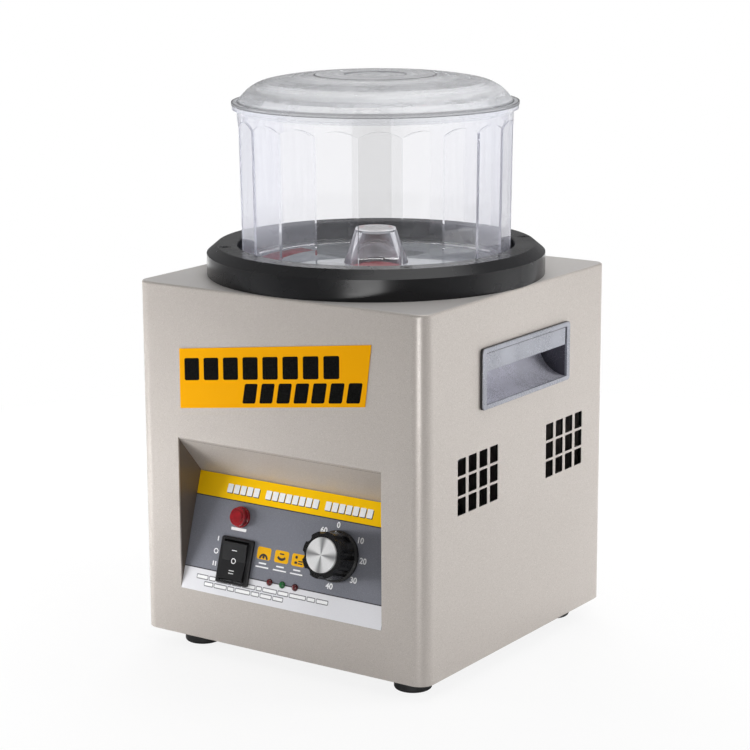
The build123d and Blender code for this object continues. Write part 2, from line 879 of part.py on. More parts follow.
with BuildPart() as timer_shaft:
    with BuildSketch(timer_plane.offset(timer_shaft_bottom)):
        Circle(timer_shaft_radius)
    extrude(amount=timer_shaft_top - timer_shaft_bottom)
    extrude(shaft_flat.sketch, amount=timer_shaft_top, mode=Mode.SUBTRACT)
pieces["timer_shaft"] = timer_shaft

with BuildPart() as timer_body:
    with BuildSketch(timer_plane.offset(panel_back)):
        RectangleRounded(*timer_body_size, 3)
    extrude(amount=-timer_body_depth)
    with BuildSketch(timer_plane.offset(panel_back)):
        Circle(timer_bush_radius)
    extrude(amount=timer_bush_top - panel_back)
    with BuildSketch(timer_plane.offset(timer_end_wall - timer_body_depth)):
        Circle(timer_shaft_radius + running_gap)
    extrude(amount=timer_body_depth + timer_bush_top, mode=Mode.SUBTRACT)
    with BuildSketch(timer_plane.offset(panel_back - timer_body_depth)):
        with GridLocations(timer_tab_pitch, 0, 3, 1):
            Rectangle(tab_thickness, tab_width)
    extrude(amount=-timer_tab_length)
pieces["timer_body"] = timer_body

with BuildPart() as timer_nut:
    with BuildSketch(timer_plane.offset(panel_face)):
        RegularPolygon(timer_nut_flats / 2, 6, major_radius=False)
        Circle(timer_bush_radius, mode=Mode.SUBTRACT)
    extrude(amount=timer_nut_height)
pieces["timer_nut"] = timer_nut

with BuildPart() as timer_knob:
    with BuildSketch(timer_plane.offset(knob_bottom)):
        Circle(knob_skirt_radius)
    extrude(amount=knob_skirt_height)
    chamfer(timer_knob.edges().group_by(panel_axis)[-1], 1.2)
    with BuildSketch(timer_plane.offset(skirt_top)):
        Circle(knob_body_radius)
        with PolarLocations(knob_body_radius + flute_reach, knob_flutes, start_angle=off_position):
            Circle(flute_radius, mode=Mode.SUBTRACT)
    extrude(amount=knob_body_top - skirt_top, taper=1.5)
    # room below for the nut and bush, and the bore for the flatted shaft
    with BuildSketch(timer_plane.offset(knob_bottom)):
        Circle(knob_hollow_radius)
    extrude(amount=knob_hollow_top - knob_bottom, mode=Mode.SUBTRACT)
    add(timer_shaft.part, mode=Mode.SUBTRACT)
    # seat for the cap and a groove for the pointer line
    with BuildSketch(timer_plane.offset(knob_body_top)):
        Circle(cap_radius)
    extrude(amount=-cap_inset, mode=Mode.SUBTRACT)
    with BuildSketch(timer_plane.offset(skirt_top)):
        with PolarLocations(knob_skirt_radius - pointer_length / 2, 1, off_position):
            Rectangle(pointer_length, pointer_width)
    extrude(amount=-pointer_depth, mode=Mode.SUBTRACT)
pieces["timer_knob"] = timer_knob

with BuildPart() as knob_cap:
    with BuildSketch(timer_plane.offset(knob_body_top - cap_inset)):
        Circle(cap_radius)
    extrude(amount=cap_top - knob_body_top + cap_inset)
    fillet(knob_cap.edges().group_by(panel_axis)[-1], cap_round)
pieces["knob_cap"] = knob_cap

# ---------------------------------------------------------------- indicator lamps and their board

led_flange_level = -6.0
led_top = 2.4
led_leg_pitch = 2.54
led_leg_width = 0.5
board_thickness = 1.6


def led(spots):
    """Round-topped indicator lamps at the given places on the panel."""
    with BuildPart() as lamp:
        with BuildSketch(panel_plane.offset(led_flange_level)):
            with Locations(*spots):
                Circle(led_radius)
        extrude(amount=led_top - led_flange_level)
        fillet(lamp.edges().group_by(panel_axis)[-1], led_radius - 0.1)
        with BuildSketch(panel_plane.offset(led_flange_level)):
            with Locations(*spots):
                Circle(led_radius + 0.5)
        extrude(amount=1)
        with BuildSketch(panel_plane.offset(led_flange_level)):
            with Locations(*spots):
                with GridLocations(led_leg_pitch, 0, 2, 1):
                    Rectangle(led_leg_width, led_leg_width)
        extrude(amount=led_board_level - board_thickness - 1 - led_flange_level)
    return lamp


pieces["red_leds"] = led(red_led_spots)
pieces["green_led"] = led([green_led_spot])

with BuildPart() as led_board:
    with BuildSketch(panel_plane.offset(led_board_level)):
        with Locations(led_board_spot):
            Rectangle(*led_board_size)
        with Locations(*red_led_spots, green_led_spot):
            with GridLocations(led_leg_pitch, 0, 2, 1):
                Circle(0.45, mode=Mode.SUBTRACT)
    extrude(amount=-board_thickness)
pieces["led_board"] = led_board

# ---------------------------------------------------------------- mains inlet and fuse, at the rear

inlet_face = rear_panel_face + 2.5
inlet_depth = 22.0
inlet_flange = (31.0, 24.0)
inlet_ear_width = 11.0
inlet_end_wall = 2.0
blade_tail = 7.0
blade_setback = 3.0
blade_size = (4.0, 2.0)
blade_spots = [(-7.0, 3.0), (0.0, -3.0), (7.0, 3.0)]
inlet_plane = Plane(
    origin=(inlet_spot[0], rear_panel_face, inlet_spot[1]), x_dir=(-1, 0, 0), z_dir=(0, 1, 0)
)

with BuildPart() as inlet_blades:
    with BuildSketch(inlet_plane.offset(-inlet_depth - blade_tail)):
        with Locations(*blade_spots):
            RectangleRounded(*blade_size, 0.4)
    extrude(amount=inlet_depth + blade_tail - blade_setback)
pieces["inlet_blades"] = inlet_blades

with BuildPart() as power_inlet:
    with BuildSketch(inlet_plane):
        SlotCenterToCenter(inlet_ear_pitch, inlet_ear_width)
        RectangleRounded(*inlet_flange, 2)
    extrude(amount=inlet_face - rear_panel_face)
    fillet(power_inlet.edges().group_by(Axis.Y)[-1], 0.8)
    with BuildSketch(inlet_plane):
        RectangleRounded(inlet_cutout[0] - 0.4, inlet_cutout[1] - 0.4, 2)
    extrude(amount=-inlet_depth)
    with BuildSketch(inlet_plane.offset(inlet_face - rear_panel_face)):
        with BuildLine():
            socket_x, socket_z, socket_cut = 12.0, 8.2, 4.5
            Polyline(
                (-socket_x, -socket_z),
                (socket_x, -socket_z),
                (socket_x, socket_z - socket_cut),
                (socket_x - socket_cut, socket_z),
                (socket_cut - socket_x, socket_z),
                (-socket_x, socket_z - socket_cut),
                close=True,
            )
        make_face()
    extrude(amount=inlet_end_wall - inlet_depth, mode=Mode.SUBTRACT)
    with Locations(inlet_plane.offset(inlet_face - rear_panel_face)):
        with GridLocations(inlet_ear_pitch, 0, 2, 1):
            CounterSinkHole(screw_radius + running_gap, countersunk_radius + 0.1, 5)
    add(inlet_blades.part, mode=Mode.SUBTRACT)
pieces["power_inlet"] = power_inlet

with BuildPart() as inlet_screws:
    inlet_screw = countersunk_screw(9)
    with Locations(inlet_plane.offset(inlet_face - rear_panel_face - 0.1)):
        with GridLocations(inlet_ear_pitch, 0, 2, 1):
            add(inlet_screw)
pieces["inlet_screws"] = inlet_screws

# The fuse cap stands out at the back as far as the knob's cap does at the front
rear_reach = -(
    front
    + timer_spot[1] * sin(panel_slope)
    - cap_top * cos(panel_slope)
    - (cap_radius - cap_round) * sin(panel_slope)
)
fuse_plane = Plane(
    origin=(fuse_spot[0], rear_panel_face, fuse_spot[1]), x_dir=(-1, 0, 0), z_dir=(0, 1, 0)
)
fuse_flange_radius = 8.2
fuse_flange_height = 2.0
fuse_nut_flats = 17.0
fuse_nut_height = 3.5
fuse_bore_radius = 5.2
fuse_depth = 32.0
fuse_radius = 2.5
fuse_length = 20.0
fuse_cap_radius = 7.4
fuse_cap_bottom = fuse_flange_height + 0.2
fuse_cap_top = rear_reach - rear_panel_face
fuse_cap_knurls = 16
fuse_carrier_length = 14.0

with BuildPart() as fuse_holder:
    with BuildSketch(fuse_plane):
        Circle(fuse_flange_radius)
    extrude(amount=fuse_flange_height)
    with BuildSketch(fuse_plane):
        Circle(fuse_bush_radius)
    extrude(amount=-fuse_depth)
    with BuildSketch(fuse_plane.offset(-sheet)):
        RegularPolygon(fuse_nut_flats / 2, 6, major_radius=False)
    extrude(amount=-fuse_nut_height)
    with BuildSketch(fuse_plane.offset(fuse_flange_height)):
        Circle(fuse_bore_radius + running_gap)
    extrude(amount=-fuse_depth, mode=Mode.SUBTRACT)
    with BuildSketch(fuse_plane.offset(-fuse_depth)):
        Rectangle(tab_thickness, small_tab_width)
    extrude(amount=-tab_length)
pieces["fuse_holder"] = fuse_holder

with BuildPart() as fuse_cap:
    with BuildSketch(fuse_plane.offset(fuse_cap_bottom)):
        Circle(fuse_cap_radius)
        with PolarLocations(fuse_cap_radius + 0.5, fuse_cap_knurls):
            Circle(0.9, mode=Mode.SUBTRACT)
    extrude(amount=fuse_cap_top - fuse_cap_bottom)
    with BuildSketch(fuse_plane.offset(fuse_cap_bottom)):
        Circle(fuse_bore_radius)
    extrude(amount=-fuse_carrier_length)
    # screwdriver slot, and the bore that holds the fuse
    with BuildSketch(fuse_plane.offset(fuse_cap_top)):
        Rectangle(10, 1.4)
    extrude(amount=-1.2, mode=Mode.SUBTRACT)
    with BuildSketch(fuse_plane):
        Circle(fuse_radius)
    extrude(amount=-fuse_carrier_length, mode=Mode.SUBTRACT)
pieces["fuse_cap"] = fuse_cap

with BuildPart() as fuse:
    with BuildSketch(fuse_plane):
        Circle(fuse_radius)
    extrude(amount=-fuse_length)
pieces["fuse"] = fuse

# ---------------------------------------------------------------- electrics on the base plate

board_size = (104.0, 76.0)
board_middle = (28.0, 26.0)
board_level = base_top + 8.0
board_top = board_level + board_thickness
board_hole_pitch = (94.0, 66.0)
standoff_radius = 3.2
standoff_pin_radius = 1.5

with BuildPart() as control_board:
    with BuildSketch(Plane.XY.offset(board_level)):
        with Locations(board_middle):
            RectangleRounded(*board_size, 2)
            with GridLocations(*board_hole_pitch, 2, 2):
                Circle(standoff_pin_radius + running_gap, mode=Mode.SUBTRACT)
    extrude(amount=board_thickness)
pieces["control_board"] = control_board

with BuildPart() as board_standoffs:
    with Locations((*board_middle, base_top)):
        with GridLocations(*board_hole_pitch, 2, 2):
            on_base = (Align.CENTER, Align.CENTER, Align.MIN)
            Cylinder(standoff_radius, board_level - base_top, align=on_base)
            Cylinder(standoff_pin_radius, board_top - base_top + 1.5, align=on_base)
pieces["board_standoffs"] = board_standoffs

transformer_spot = (58.0, 44.0)
transformer_core = (36.0, 20.0)
transformer_height = 30.0
transformer_coil = (26.0, 31.0)
transformer_coil_height = 20.0
with BuildPart() as board_transformer:
    with BuildSketch(Plane.XY.offset(board_top)):
        with Locations(transformer_spot):
            RectangleRounded(*transformer_core, 1)
    extrude(amount=transformer_height)
    coil_level = board_top + (transformer_height - transformer_coil_height) / 2
    with BuildSketch(Plane.XY.offset(coil_level)):
        with Locations(transformer_spot):
            RectangleRounded(*transformer_coil, 4)
    extrude(amount=transformer_coil_height)
pieces["board_transformer"] = board_transformer

relay_spots = [(2.0, 44.0), (26.0, 44.0)]
relay_size = (19.0, 15.5)
relay_height = 15.3
with BuildPart() as board_relays:
    with BuildSketch(Plane.XY.offset(board_top)):
        with Locations(*relay_spots):
            Rectangle(*relay_size)
    extrude(amount=relay_height)
    chamfer(board_relays.edges().group_by(Axis.Z)[-1], 0.8)
pieces["board_relays"] = board_relays

terminal_middle = (28.0, -2.0)
terminal_poles = 6
terminal_pitch = 10.0
terminal_size = (60.0, 13.0, 12.0)
terminal_screw_well = 2.6
terminal_mouth = (5.0, 4.4)
terminal_mouth_level = board_top + 5.0
with BuildPart() as terminal_block:
    with BuildSketch(Plane.XY.offset(board_top)):
        with Locations(terminal_middle):
            Rectangle(terminal_size[0], terminal_size[1])
    extrude(amount=terminal_size[2])
    with BuildSketch(Plane.XY.offset(board_top + terminal_size[2])):
        with Locations(terminal_middle):
            with GridLocations(terminal_pitch, 0, terminal_poles, 1):
                Circle(terminal_screw_well)
    extrude(amount=-3, mode=Mode.SUBTRACT)
    with BuildSketch(Plane.XZ.offset(-terminal_middle[1] + terminal_size[1] / 2)):
        with Locations((terminal_middle[0], terminal_mouth_level)):
            with GridLocations(terminal_pitch, 0, terminal_poles, 1):
                Rectangle(*terminal_mouth)
    extrude(amount=-5, mode=Mode.SUBTRACT)
pieces["terminal_block"] = terminal_block

capacitor_level = base_top + clamp_wall + capacitor_radius + 0.2
capacitor_plane = Plane(
    origin=(capacitor_x, capacitor_y, capacitor_level), x_dir=(-1, 0, 0), z_dir=(0, 1, 0)
)

with BuildPart() as run_capacitor:
    with BuildSketch(capacitor_plane):
        Circle(capacitor_radius)
    extrude(amount=capacitor_length)
    fillet(run_capacitor.edges(), 1.5)
    with BuildSketch(capacitor_plane.offset(capacitor_length)):
        with GridLocations(capacitor_tab_pitch, 0, 2, 1):
            Rectangle(tab_thickness, tab_width)
    extrude(amount=tab_length)
pieces["run_capacitor"] = run_capacitor

with BuildPart() as capacitor_clamp:
    with BuildSketch(capacitor_plane.offset(capacitor_length / 2 - clamp_width / 2)):
        Circle(capacitor_radius + clamp_wall)
        with Locations((0, base_top + clamp_wall / 2 - capacitor_level)):
            Rectangle(2 * clamp_foot_half, clamp_wall)
        Circle(capacitor_radius, mode=Mode.SUBTRACT)
    extrude(amount=clamp_width)
    with Locations(*[(x, y, base_top + clamp_wall) for x, y in clamp_screw_spots]):
        Hole(screw_radius + running_gap, clamp_wall)
pieces["capacitor_clamp"] = capacitor_clamp

# ---------------------------------------------------------------- motor, fixed pieces

bell_bottom = can_bottom - bell_height
bell_top = can_top + bell_height
motor_plate_bottom = motor_plate_top - motor_plate_thickness
motor_bolt_radius = 2.5
core_height = core_top - core_bottom
slot_inner = stator_bore + 2.0
slot_outer = stator_radius - 5.5
slot_width = 7.0
coil_height = 9.0
plate_hole_radius = 22.0
cooling_fins = 24

with BuildPart() as motor_plate:
    with BuildSketch(Plane.XY.offset(motor_plate_bottom)):
        RectangleRounded(2 * motor_plate_half, 2 * motor_plate_half, 8)
        Circle(plate_hole_radius, mode=Mode.SUBTRACT)
        with Locations(*ring_screw_spots):
            Circle(screw_radius + running_gap, mode=Mode.SUBTRACT)
        with PolarLocations(motor_bolt_circle, motor_bolt_count):
            Circle(motor_bolt_radius + 0.1, mode=Mode.SUBTRACT)
    extrude(amount=motor_plate_thickness)
pieces["motor_plate"] = motor_plate

with BuildPart() as plate_posts:
    post = hex_nut(post_across_flats, top_plate_underside - motor_plate_top, screw_radius)
    with Locations(*[(x, y, motor_plate_top) for x, y in ring_screw_spots]):
        add(post)
pieces["plate_posts"] = plate_posts

with BuildPart() as motor_housing:
    with BuildSketch(Plane.XY.offset(can_bottom)):
        Circle(can_radius)
        with PolarLocations(can_radius, cooling_fins, start_angle=180 / cooling_fins):
            Rectangle(3.5, 2)
        Circle(stator_radius, mode=Mode.SUBTRACT)
    extrude(amount=can_top - can_bottom)
pieces["motor_housing"] = motor_housing

with BuildPart() as stator_core:
    with BuildSketch(Plane.XY.offset(core_bottom)):
        Circle(stator_radius)
        Circle(stator_bore, mode=Mode.SUBTRACT)
        with PolarLocations((slot_inner + slot_outer) / 2, stator_slots):
            Rectangle(slot_outer - slot_inner, slot_width, mode=Mode.SUBTRACT)
        with PolarLocations(stator_bore + 1, stator_slots):
            Rectangle(4, 2.5, mode=Mode.SUBTRACT)
    extrude(amount=core_height)
pieces["stator_core"] = stator_core

# One winding: a coil ring above and below the core, joined by a bar in each slot
with BuildPart() as stator_windings:
    coil_gap = 1.0
    with BuildSketch(Plane.XY.offset(core_bottom - coil_gap)):
        with PolarLocations((slot_inner + slot_outer) / 2, stator_slots):
            Rectangle(slot_outer - slot_inner - 0.6, slot_width - 0.6)
    extrude(amount=core_height + 2 * coil_gap)
    for coil_level in (core_bottom - coil_gap - coil_height, core_top + coil_gap):
        with BuildSketch(Plane.XY.offset(coil_level)):
            Circle(slot_outer + 2.5)
            Circle(slot_inner, mode=Mode.SUBTRACT)
        extrude(amount=coil_height)
    coil_edges = stator_windings.edges().group_by(Axis.Z)
    fillet(coil_edges[0] + coil_edges[-1], 3)
pieces["stator_windings"] = stator_windings

bell_lug = (20.0, 13.0)
bell_vent = (15.0, 6.0)
bell_vent_count = 8
bell_vent_circle = 36.0
bearing_seat_wall = 3.5

# An end bell stands on its outer face at Z=0, with the bearing pocket and skirt upwards
with BuildPart() as end_bell:
    with BuildSketch():
        Circle(can_radius)
        with PolarLocations(motor_bolt_circle - 3, motor_bolt_count):
            RectangleRounded(*bell_lug, 5)
        Circle(shaft_radius + 1.5, mode=Mode.SUBTRACT)
        with PolarLocations(motor_bolt_circle, motor_bolt_count):
            Circle(motor_bolt_radius + 0.1, mode=Mode.SUBTRACT)
        with PolarLocations(bell_vent_circle, bell_vent_count, 180 / bell_vent_count):
            SlotOverall(*bell_vent, rotation=90, mode=Mode.SUBTRACT)
    extrude(amount=bell_wall)
    with BuildSketch(Plane.XY.offset(bell_wall)):
        Circle(can_radius)
        Circle(can_radius - bell_wall, mode=Mode.SUBTRACT)
    extrude(amount=bell_height - bell_wall)
    with BuildSketch(Plane.XY.offset(bell_wall)):
        Circle(bearing_radius + bearing_seat_wall)
        Circle(bearing_radius, mode=Mode.SUBTRACT)
    extrude(amount=bearing_width)

with BuildPart() as bottom_end_bell:
    with Locations((0, 0, bell_bottom)):
        add(end_bell.part)
pieces["bottom_end_bell"] = bottom_end_bell

with BuildPart() as top_end_bell:
    with Locations(underside(0, 0, bell_top)):
        add(end_bell.part)
pieces["top_end_bell"] = top_end_bell

bearing_levels = (bell_bottom + bell_wall, bell_top - bell_wall - bearing_width)
with BuildPart() as motor_bearings:
    for bearing_level in bearing_levels:
        with BuildSketch(Plane.XY.offset(bearing_level)):
            Circle(bearing_radius)
            Circle(shaft_radius + running_gap, mode=Mode.SUBTRACT)
        extrude(amount=bearing_width)
        # shield grooves between the races
        for groove_level, groove_depth in ((bearing_level, 1), (bearing_level + bearing_width, -1)):
            with BuildSketch(Plane.XY.offset(groove_level)):
                Circle(bearing_radius - 3)
                Circle(shaft_radius + 2.5, mode=Mode.SUBTRACT)
            extrude(amount=groove_depth, mode=Mode.SUBTRACT)
pieces["motor_bearings"] = motor_bearings

with BuildPart() as motor_bolts:
    bolt_head_height = 3.5
    bolt_nut_height = 4.0
    motor_nut = hex_nut(8, bolt_nut_height, motor_bolt_radius)
    with BuildSketch(Plane.XY.offset(bell_bottom)):
        with PolarLocations(motor_bolt_circle, motor_bolt_count):
            RegularPolygon(4, 6, major_radius=False)
    extrude(amount=-bolt_head_height)
    with BuildSketch(Plane.XY.offset(bell_bottom)):
        with PolarLocations(motor_bolt_circle, motor_bolt_count):
            Circle(motor_bolt_radius)
    extrude(amount=motor_plate_top + bolt_nut_height + 1 - bell_bottom)
    with Locations((0, 0, motor_plate_top)):
        with PolarLocations(motor_bolt_circle, motor_bolt_count):
            add(motor_nut)
pieces["motor_bolts"] = motor_bolts

# ---------------------------------------------------------------- rotor and magnet disc

hub_flange_radius = 28.0
hub_flange_height = 6.0
hub_boss_radius = 13.0
hub_spigot_radius = 10.0
hub_screw_circle = 19.0
hub_screw_count = 4
disc_top = disc_bottom + disc_thickness
hub_boss_bottom = motor_plate_top + 4.0
shoulder_radius = 7.5
end_ring_outside = rotor_radius - 2.0
end_ring_inside = rotor_radius - 10.0
end_ring_height = 3.0
rotor_fins = 9
rotor_fin_height = 7.0

with BuildPart() as motor_shaft:
    with BuildSketch(Plane.XY.offset(shaft_bottom)):
        Circle(shaft_radius)
    extrude(amount=disc_top - shaft_bottom)
    chamfer(motor_shaft.edges().group_by(Axis.Z)[0], 0.8)
    with BuildSketch(Plane.XY.offset(bearing_levels[0] + bearing_width + 1)):
        Circle(shoulder_radius)
    extrude(amount=bearing_levels[1] - bearing_levels[0] - bearing_width - 2)
pieces["motor_shaft"] = motor_shaft

with BuildPart() as rotor_core:
    with BuildSketch(Plane.XY.offset(core_bottom)):
        Circle(rotor_radius)
        Circle(shoulder_radius, mode=Mode.SUBTRACT)
    extrude(amount=core_height)
    # cast end rings with fins
    for ring_level, ring_direction in ((core_bottom, -1), (core_top, 1)):
        with BuildSketch(Plane.XY.offset(ring_level)):
            Circle(end_ring_outside)
            Circle(end_ring_inside, mode=Mode.SUBTRACT)
        extrude(amount=end_ring_height * ring_direction)
        with BuildSketch(Plane.XY.offset(ring_level)):
            with PolarLocations((end_ring_outside + end_ring_inside) / 2, rotor_fins):
                Rectangle(end_ring_outside - end_ring_inside - 1, 2)
        extrude(amount=rotor_fin_height * ring_direction)
pieces["rotor_core"] = rotor_core

fan_height = 12.0
fan_radius = 40.0
fan_hub_radius = 10.0
fan_blades = 9
fan_blade_size = (30.0, 1.8)
fan_blade_twist = 12.0
fan_top = shaft_bottom + 1 + fan_height

with BuildPart() as cooling_fan:
    with BuildSketch(Plane.XY.offset(fan_top - fan_height)):
        Circle(fan_hub_radius)
        with PolarLocations(fan_radius - fan_blade_size[0] / 2 - 1, fan_blades):
            Rectangle(*fan_blade_size, rotation=fan_blade_twist)
        Circle(shaft_radius, mode=Mode.SUBTRACT)
    extrude(amount=fan_height)
    with BuildSketch(Plane.XY.offset(fan_top)):
        Circle(fan_radius)
        Circle(shaft_radius, mode=Mode.SUBTRACT)
    extrude(amount=sheet)
pieces["cooling_fan"] = cooling_fan

with BuildPart() as disc_hub:
    with BuildSketch(Plane.XY.offset(hub_boss_bottom)):
        Circle(hub_boss_radius)
    extrude(amount=disc_bottom - hub_flange_height - hub_boss_bottom)
    with BuildSketch(Plane.XY.offset(disc_bottom - hub_flange_height)):
        Circle(hub_flange_radius)
        with PolarLocations(hub_screw_circle, hub_screw_count):
            Circle(screw_radius, mode=Mode.SUBTRACT)
    extrude(amount=hub_flange_height)
    with BuildSketch(Plane.XY.offset(disc_bottom)):
        Circle(hub_spigot_radius)
    extrude(amount=disc_thickness)
    add(motor_shaft.part, mode=Mode.SUBTRACT)
pieces["disc_hub"] = disc_hub

with BuildPart() as magnet_disc:
    with BuildSketch(Plane.XY.offset(disc_bottom)):
        Circle(disc_radius)
        Circle(hub_spigot_radius, mode=Mode.SUBTRACT)
    extrude(amount=disc_thickness)
    chamfer(magnet_disc.edges().group_by(Axis.Z)[-1].sort_by(SortBy.LENGTH)[-1], 1)
    with BuildSketch(Plane.XY.offset(disc_top)):
        with PolarLocations(magnet_circle, magnet_count):
            Circle(magnet_radius + 0.1)
    extrude(amount=-magnet_pocket_depth, mode=Mode.SUBTRACT)
    with Locations((0, 0, disc_top)):
        with PolarLocations(hub_screw_circle, hub_screw_count):
            CounterSinkHole(screw_radius + 0.2, countersunk_radius + 0.1, disc_thickness)
pieces["magnet_disc"] = magnet_disc

with BuildPart() as disc_magnets:
    with BuildSketch(Plane.XY.offset(disc_top - magnet_pocket_depth)):
        with PolarLocations(magnet_circle, magnet_count):
            Circle(magnet_radius)
    extrude(amount=magnet_height)
    chamfer(disc_magnets.edges().group_by(Axis.Z)[-1], 0.6)
pieces["disc_magnets"] = disc_magnets

with BuildPart() as hub_screws:
    hub_screw = countersunk_screw(disc_thickness + hub_flange_height - 2)
    with Locations((0, 0, disc_top - 0.1)):
        with PolarLocations(hub_screw_circle, hub_screw_count):
            add(hub_screw)
pieces["hub_screws"] = hub_screws

# ---------------------------------------------------------------- shared casing screws

with BuildPart() as casing_screws:
    casing_screw = pan_head_screw(8)
    with Locations(*[underside(x, y, casing_bottom) for x, y in base_screw_spots]):
        add(casing_screw)
    with Locations(*[underside(x, y, motor_plate_bottom) for x, y in ring_screw_spots]):
        add(casing_screw)
    with Locations(*[(x, y, base_top + clamp_wall) for x, y in clamp_screw_spots]):
        add(casing_screw)
    rear_screw_plane = Plane(
        origin=(0, rear_panel_face, rear_panel_level), x_dir=(-1, 0, 0), z_dir=(0, 1, 0)
    )
    with Locations(rear_screw_plane):
        with GridLocations(*rear_screw_grid, 2, 3):
            add(casing_screw)
pieces["casing_screws"] = casing_screws

# ---------------------------------------------------------------- wiring

wire_radius = 1.2
block_entry_y = terminal_middle[1] - terminal_size[1] / 2 + 3
block_entry_run = 14.0
wire_end_gap = 0.2
inlet_tip_y = rear_panel_face - inlet_depth - blade_tail - wire_end_gap
fuse_tip_y = rear_panel_face - fuse_depth - tab_length - wire_end_gap
capacitor_tip_y = capacitor_y + capacitor_length + tab_length + wire_end_gap
lamp_tip_depth = lamp_tab_length - lamp_barrel_back + wire_end_gap
switch_tip_depth = switch_body_depth + tab_length + wire_end_gap
timer_tip_depth = timer_body_depth + timer_tab_length - panel_back + wire_end_gap
led_tip_depth = board_thickness - led_board_level + wire_end_gap
earth_lug = (-38.0, 92.0)
earth_lug_radius = 4.0
earth_lug_height = 1.2


def behind_panel(spot, depth):
    """A point behind the panel, at a place given on its face."""
    return panel_plane.from_local_coords((*spot, -depth))


def block_entry(pole):
    """The last two points of a wire that goes into a pole of the terminal block."""
    x = terminal_middle[0] + (pole - (terminal_poles - 1) / 2) * terminal_pitch
    return [
        (x, block_entry_y - block_entry_run, terminal_mouth_level),
        (x, block_entry_y, terminal_mouth_level),
    ]


lamp_tip = behind_panel((lamp_spot[0] + lamp_tab_pitch / 2, lamp_spot[1]), lamp_tip_depth)
switch_tab_x = switch_spot[0] + switch_tab_pitch[0] / 2
switch_feed_tip = behind_panel((switch_tab_x, switch_spot[1] + switch_tab_pitch[1]), switch_tip_depth)
switch_load_tip = behind_panel((switch_tab_x, switch_spot[1] - switch_tab_pitch[1]), switch_tip_depth)
timer_feed_tip = behind_panel(timer_spot, timer_tip_depth)
timer_load_tip = behind_panel((timer_spot[0] + timer_tab_pitch, timer_spot[1]), timer_tip_depth)
led_tip = behind_panel((5.2, led_board_spot[1]), led_tip_depth)
earth_tip = (*earth_lug, base_top + earth_lug_height)

# Each route: the points it runs through, and the way it leaves its first end and enters its last.
inwards = (0, cos(panel_slope), -sin(panel_slope))
forwards = (0, -1, 0)
backwards = (0, 1, 0)
downwards = (0, 0, -1)
upwards = (0, 0, 1)
wire_routes = [
    ([lamp_tip, (-28, -48, 55), *block_entry(0)], inwards, backwards),
    ([switch_feed_tip, (-14, -52, 38), *block_entry(1)], inwards, backwards),
    ([switch_load_tip, (0, -56, 26), *block_entry(2)], inwards, backwards),
    ([led_tip, (18, -60, 34), *block_entry(3)], inwards, backwards),
    ([timer_feed_tip, (42, -44, 48), *block_entry(4)], inwards, backwards),
    ([timer_load_tip, (60, -44, 46), *block_entry(5)], inwards, backwards),
    (
        [(-53, inlet_tip_y, 55), (-36, 64, 60), (fuse_spot[0], fuse_tip_y, fuse_spot[1])],
        forwards,
        backwards,
    ),
    ([(-60, inlet_tip_y, 49), (-46, 82, 34), earth_tip], forwards, downwards),
    (
        [(-79, capacitor_tip_y, capacitor_level), (-84, 74, 66), (-44, 42, 148)],
        backwards,
        upwards,
    ),
    (
        [(-65, capacitor_tip_y, capacitor_level), (-70, 72, 70), (-40, 46, 148)],
        backwards,
        upwards,
    ),
]

with BuildPart() as wiring_harness:
    for stops, leaving, entering in wire_routes:
        with BuildLine() as route:
            Spline(*stops, tangents=(leaving, entering))
        with BuildSketch(Plane(origin=route.line @ 0, z_dir=leaving)):
            Circle(wire_radius)
        sweep(path=route.line)
    with BuildSketch(Plane.XY.offset(base_top)):
        with Locations(earth_lug):
            Circle(earth_lug_radius)
    extrude(amount=earth_lug_height)
pieces["wiring_harness"] = wiring_harness

# ---------------------------------------------------------------- hand over

os.makedirs("parts", exist_ok=True)
for name, piece in pieces.items():
    piece.part.label = name
    export_step(piece.part, f"parts/{name}.step")
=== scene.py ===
import json
import math

import bpy
from mathutils import Matrix, Vector


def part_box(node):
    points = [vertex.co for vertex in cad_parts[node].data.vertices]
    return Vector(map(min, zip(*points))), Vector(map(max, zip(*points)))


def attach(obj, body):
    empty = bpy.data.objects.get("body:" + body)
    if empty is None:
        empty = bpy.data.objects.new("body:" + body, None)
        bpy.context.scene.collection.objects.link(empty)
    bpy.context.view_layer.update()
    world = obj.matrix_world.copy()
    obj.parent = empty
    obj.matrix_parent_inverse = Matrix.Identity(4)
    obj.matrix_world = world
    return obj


# Bench-top magnetic tumbler. The CAD nodes carry the shapes; this script gives every node its
# finish, adds the printed marks, and sets the light, the floor and the camera.
# Lengths in the frame are metres. Printed artwork is drawn in millimetres.

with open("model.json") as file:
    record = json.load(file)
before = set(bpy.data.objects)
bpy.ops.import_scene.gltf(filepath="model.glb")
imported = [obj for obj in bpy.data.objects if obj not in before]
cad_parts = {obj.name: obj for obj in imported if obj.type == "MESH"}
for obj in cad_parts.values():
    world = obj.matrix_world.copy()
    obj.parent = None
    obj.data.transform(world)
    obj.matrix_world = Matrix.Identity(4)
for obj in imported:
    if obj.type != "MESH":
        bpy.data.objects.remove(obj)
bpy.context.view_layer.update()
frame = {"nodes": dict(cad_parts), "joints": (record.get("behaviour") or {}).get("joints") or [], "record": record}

MM = 0.001
scene = bpy.context.scene
joints = {joint["name"]: joint for joint in frame["joints"]}


# ---------------------------------------------------------------- finishes: shared building blocks


def colour(red, green, blue):
    """Linear colour from ordinary 0-255 screen values."""

    def linear(value):
        value /= 255
        return value / 12.92 if value <= 0.04045 else ((value + 0.055) / 1.055) ** 2.4

    return (linear(red), linear(green), linear(blue), 1.0)


def scaled(shade, factor, lift=0.0):
    """A linear colour made lighter or darker."""
    return tuple(min(1.0, part * factor + lift) for part in shade[:3]) + (1.0,)


